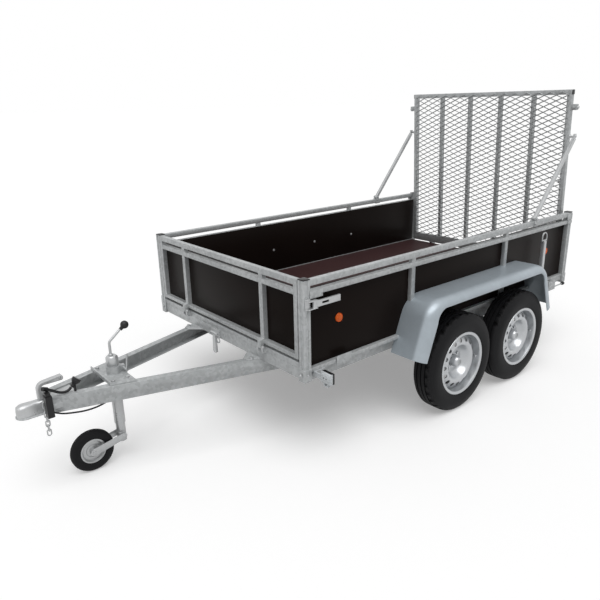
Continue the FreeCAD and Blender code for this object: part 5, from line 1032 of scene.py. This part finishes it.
class OBJECT_OT_trailer_trim(bpy.types.Operator):
    """Adds the ramp's lugs and caps, the bed's plates and screws and the coupling's flange"""
    bl_idname = "object.trailer_trim"
    bl_label = "Add the trim"

    def execute(self, context):
        works = {key: bmesh.new() for key in ("lugs", "caps", "plates", "knobs", "flange")}
        for hand, side in HANDS:
            add_side_boxes(works, RAMP_TRIM, side, ORIGIN)
            add_bolt(works["lugs"], on_side(side, ORIGIN, LUG_BOLT), (1, 0, 0), LUG_BOLT_WIDTH)
            add_side_boxes(works, BED_PLATES, side, FRONT)
            add_bolt(works["plates"], on_side(side, FRONT, STAY_BOLT), (0, side, 0),
                     STAY_BOLT_WIDTH)
            tip = on_side(side, FRONT, PROP_SCREW_TIP)
            add_rod(works["plates"], on_side(side, FRONT, PROP_SCREW_END), tip,
                    PROP_SCREW_RADIUS, 16, 0.0005)
            add_rod(works["knobs"], tip - Vector((PROP_KNOB_BACK, 0, 0)),
                    tip + Vector((PROP_KNOB_AHEAD, 0, 0)), PROP_KNOB_RADIUS, 20, 0.004)
        add_coupling_flange(works["flange"])
        for key in ("lugs", "caps"):
            bmesh.ops.transform(works[key], matrix=RAMP_PLACE, verts=works[key].verts)
        finish_piece(works["lugs"], "ramp_lugs", "galvanised", "ramp")
        finish_piece(works["caps"], "ramp_bar_caps", "black_plastic", "ramp")
        finish_piece(works["plates"], "corner_plates", "galvanised", "bed")
        finish_piece(works["knobs"], "screw_knobs", "black_plastic", "bed")
        finish_piece(works["flange"], "coupling_flange", "galvanised", "chassis")
        return {"FINISHED"}


def add_coupling_flange(work):
    """The rolled flange under the coupling head, round its nose and along its legs."""
    turns = [math.pi * (step / FLANGE_STEPS - 0.5) for step in range(FLANGE_STEPS + 1)]
    nose = [(FLANGE_AHEAD + FLANGE_RADIUS * math.cos(turn), FLANGE_RADIUS * math.sin(turn))
            for turn in turns]
    line = [(FLANGE_LEG_AHEAD, -FLANGE_LEG_LEFT)] + nose + [(FLANGE_LEG_AHEAD, FLANGE_LEG_LEFT)]
    points = [from_front(*point, FLANGE_UP) for point in line]
    for first, second in zip(points, points[1:]):
        add_rod(work, first, second, FLANGE_WIRE, 12)


class OBJECT_OT_trailer_bolts(bpy.types.Operator):
    """Puts in the bolts"""
    bl_idname = "object.trailer_bolts"
    bl_label = "Put in the bolts"

    def execute(self, context):
        width = context.scene.trailer_sizes.bolt_width
        works = {body: bmesh.new() for body in ("bed", "chassis", "ramp")}
        for hand, side in HANDS:
            for body, spot, axis, share in BOLTS:
                outward = (axis[0], side * axis[1], axis[2])
                add_bolt(works[body], on_side(side, FRONT, spot), outward, width * share)
            for up in RAMP_BOLTS_UP:
                spot = Vector((RAMP_FACE + RAMP_BOLTS_OUT, side * RAMP_BOLTS_LEFT, up))
                add_bolt(works["ramp"], RAMP_PLACE @ spot, RAMP_BOLTS_AXIS, width * SMALL)
        for body, work in works.items():
            finish_piece(work, body + "_bolts", "zinc", body)
        return {"FINISHED"}


class OBJECT_OT_trailer_stage(bpy.types.Operator):
    """Adds the floor, the light and the photograph's camera"""
    bl_idname = "object.trailer_stage"
    bl_label = "Set the stage"

    def execute(self, context):
        add_camera(context.scene)
        add_floor()
        add_light(context.scene)
        context.scene.view_settings.view_transform = "Standard"
        return {"FINISHED"}


def add_camera(scene):
    """Camera at the place and angle measured from the photograph."""
    data = bpy.data.cameras.new("Camera")
    data.sensor_width = SENSOR_WIDTH
    data.lens = SENSOR_WIDTH * FOCAL_PIXELS / PHOTO_PIXELS
    ahead = Vector((math.cos(CAMERA_YAW) * math.cos(CAMERA_PITCH),
                    math.sin(CAMERA_YAW) * math.cos(CAMERA_PITCH), -math.sin(CAMERA_PITCH)))
    level = ahead.cross(Vector((0, 0, 1))).normalized()
    above = level.cross(ahead)
    right = level * math.cos(CAMERA_ROLL) + above * math.sin(CAMERA_ROLL)
    up = above * math.cos(CAMERA_ROLL) - level * math.sin(CAMERA_ROLL)
    turn = Matrix((right, up, -ahead)).transposed().to_4x4()
    place = from_front(CAMERA_AHEAD, CAMERA_LEFT, CAMERA_HEIGHT)
    camera = new_object("Camera", data)
    camera.matrix_world = Matrix.Translation(place) @ turn
    scene.camera = camera


def background_rays(tree):
    """One for rays that show the background: the camera's, glossy ones and those through glass."""
    rays = tree.nodes.new("ShaderNodeLightPath")
    seen = rays.outputs["Is Camera Ray"]
    for kind in ("Is Glossy Ray", "Is Transmission Ray"):
        either = add_node(tree, "ShaderNodeMath", operation="MAXIMUM")
        tree.links.new(seen, either.inputs[0])
        tree.links.new(rays.outputs[kind], either.inputs[1])
        seen = either.outputs[0]
    return seen


def add_floor():
    """Large pale floor that keeps the trailer's shadow."""
    work = bmesh.new()
    bmesh.ops.create_grid(work, x_segments=1, y_segments=1, size=FLOOR_HALF)
    floor = new_object("Floor", mesh_from(work, "Floor"))
    tree, shader = new_material("pale_floor", Roughness=0.9, Specular_IOR_Level=0.0,
                                Emission_Strength=1.0)
    seen = background_rays(tree)
    for socket, bounced, shown in (("Base Color", FLOOR_BOUNCE, FLOOR_SEEN),
                                   ("Emission Color", 0.0, FLOOR_LIFT)):
        shade = add_mix(tree, "RGBA", seen, (bounced,) * 3 + (1,), (shown,) * 3 + (1,))
        tree.links.new(shade, shader.inputs[socket])
    floor.data.materials.append(FINISHES["pale_floor"])


def add_light(scene):
    """Soft sky and one broad light above."""
    levels = scene.trailer_light
    scene.world = bpy.data.worlds.new("Studio")
    scene.world.use_nodes = True
    tree = scene.world.node_tree
    background = tree.nodes["Background"]
    background.inputs["Color"].default_value = (1, 1, 1, 1)
    strength = add_mix(tree, "FLOAT", background_rays(tree), levels.ambient, 1.0)
    tree.links.new(strength, background.inputs["Strength"])
    data = bpy.data.lights.new("Key", "SUN")
    data.energy = levels.key
    data.angle = KEY_SPREAD
    lamp = new_object("Key", data)
    lamp.rotation_euler = KEY_AIM.to_track_quat("-Z", "Y").to_euler()


class VIEW3D_PT_trailer(bpy.types.Panel):
    """Sizes, colours and steps of the trailer"""
    bl_label = "Utility trailer"
    bl_idname = "VIEW3D_PT_trailer"
    bl_space_type = "VIEW_3D"
    bl_region_type = "UI"
    bl_category = "Trailer"

    def draw(self, context):
        scene = context.scene
        for settings in (scene.trailer_sizes, scene.trailer_finish, scene.trailer_light):
            for name in settings.bl_rna.properties.keys():
                if name not in ("rna_type", "name"):
                    self.layout.prop(settings, name)
        for step in STEPS:
            self.layout.operator(step.bl_idname)


STEPS = (OBJECT_OT_trailer_stage, OBJECT_OT_trailer_finish, OBJECT_OT_trailer_cords,
         OBJECT_OT_trailer_edges, OBJECT_OT_trailer_tyres, OBJECT_OT_trailer_rims,
         OBJECT_OT_trailer_mesh, OBJECT_OT_trailer_guards, OBJECT_OT_trailer_chain,
         OBJECT_OT_trailer_jockey, OBJECT_OT_trailer_lamps, OBJECT_OT_trailer_trim,
         OBJECT_OT_trailer_bolts)
CLASSES = (TrailerFinish, TrailerSizes, TrailerLight) + STEPS + (VIEW3D_PT_trailer,)


def register():
    for kind in CLASSES:
        bpy.utils.register_class(kind)
    bpy.types.Scene.trailer_finish = bpy.props.PointerProperty(type=TrailerFinish)
    bpy.types.Scene.trailer_sizes = bpy.props.PointerProperty(type=TrailerSizes)
    bpy.types.Scene.trailer_light = bpy.props.PointerProperty(type=TrailerLight)


def unregister():
    del bpy.types.Scene.trailer_light
    del bpy.types.Scene.trailer_sizes
    del bpy.types.Scene.trailer_finish
    for kind in reversed(CLASSES):
        bpy.utils.unregister_class(kind)


def run_step(step):
    """Calls one operator by its name."""
    family, name = step.bl_idname.split(".")
    getattr(getattr(bpy.ops, family), name)()


def main():
    register()
    for step in STEPS:
        run_step(step)


if __name__ == "__main__":
    main()
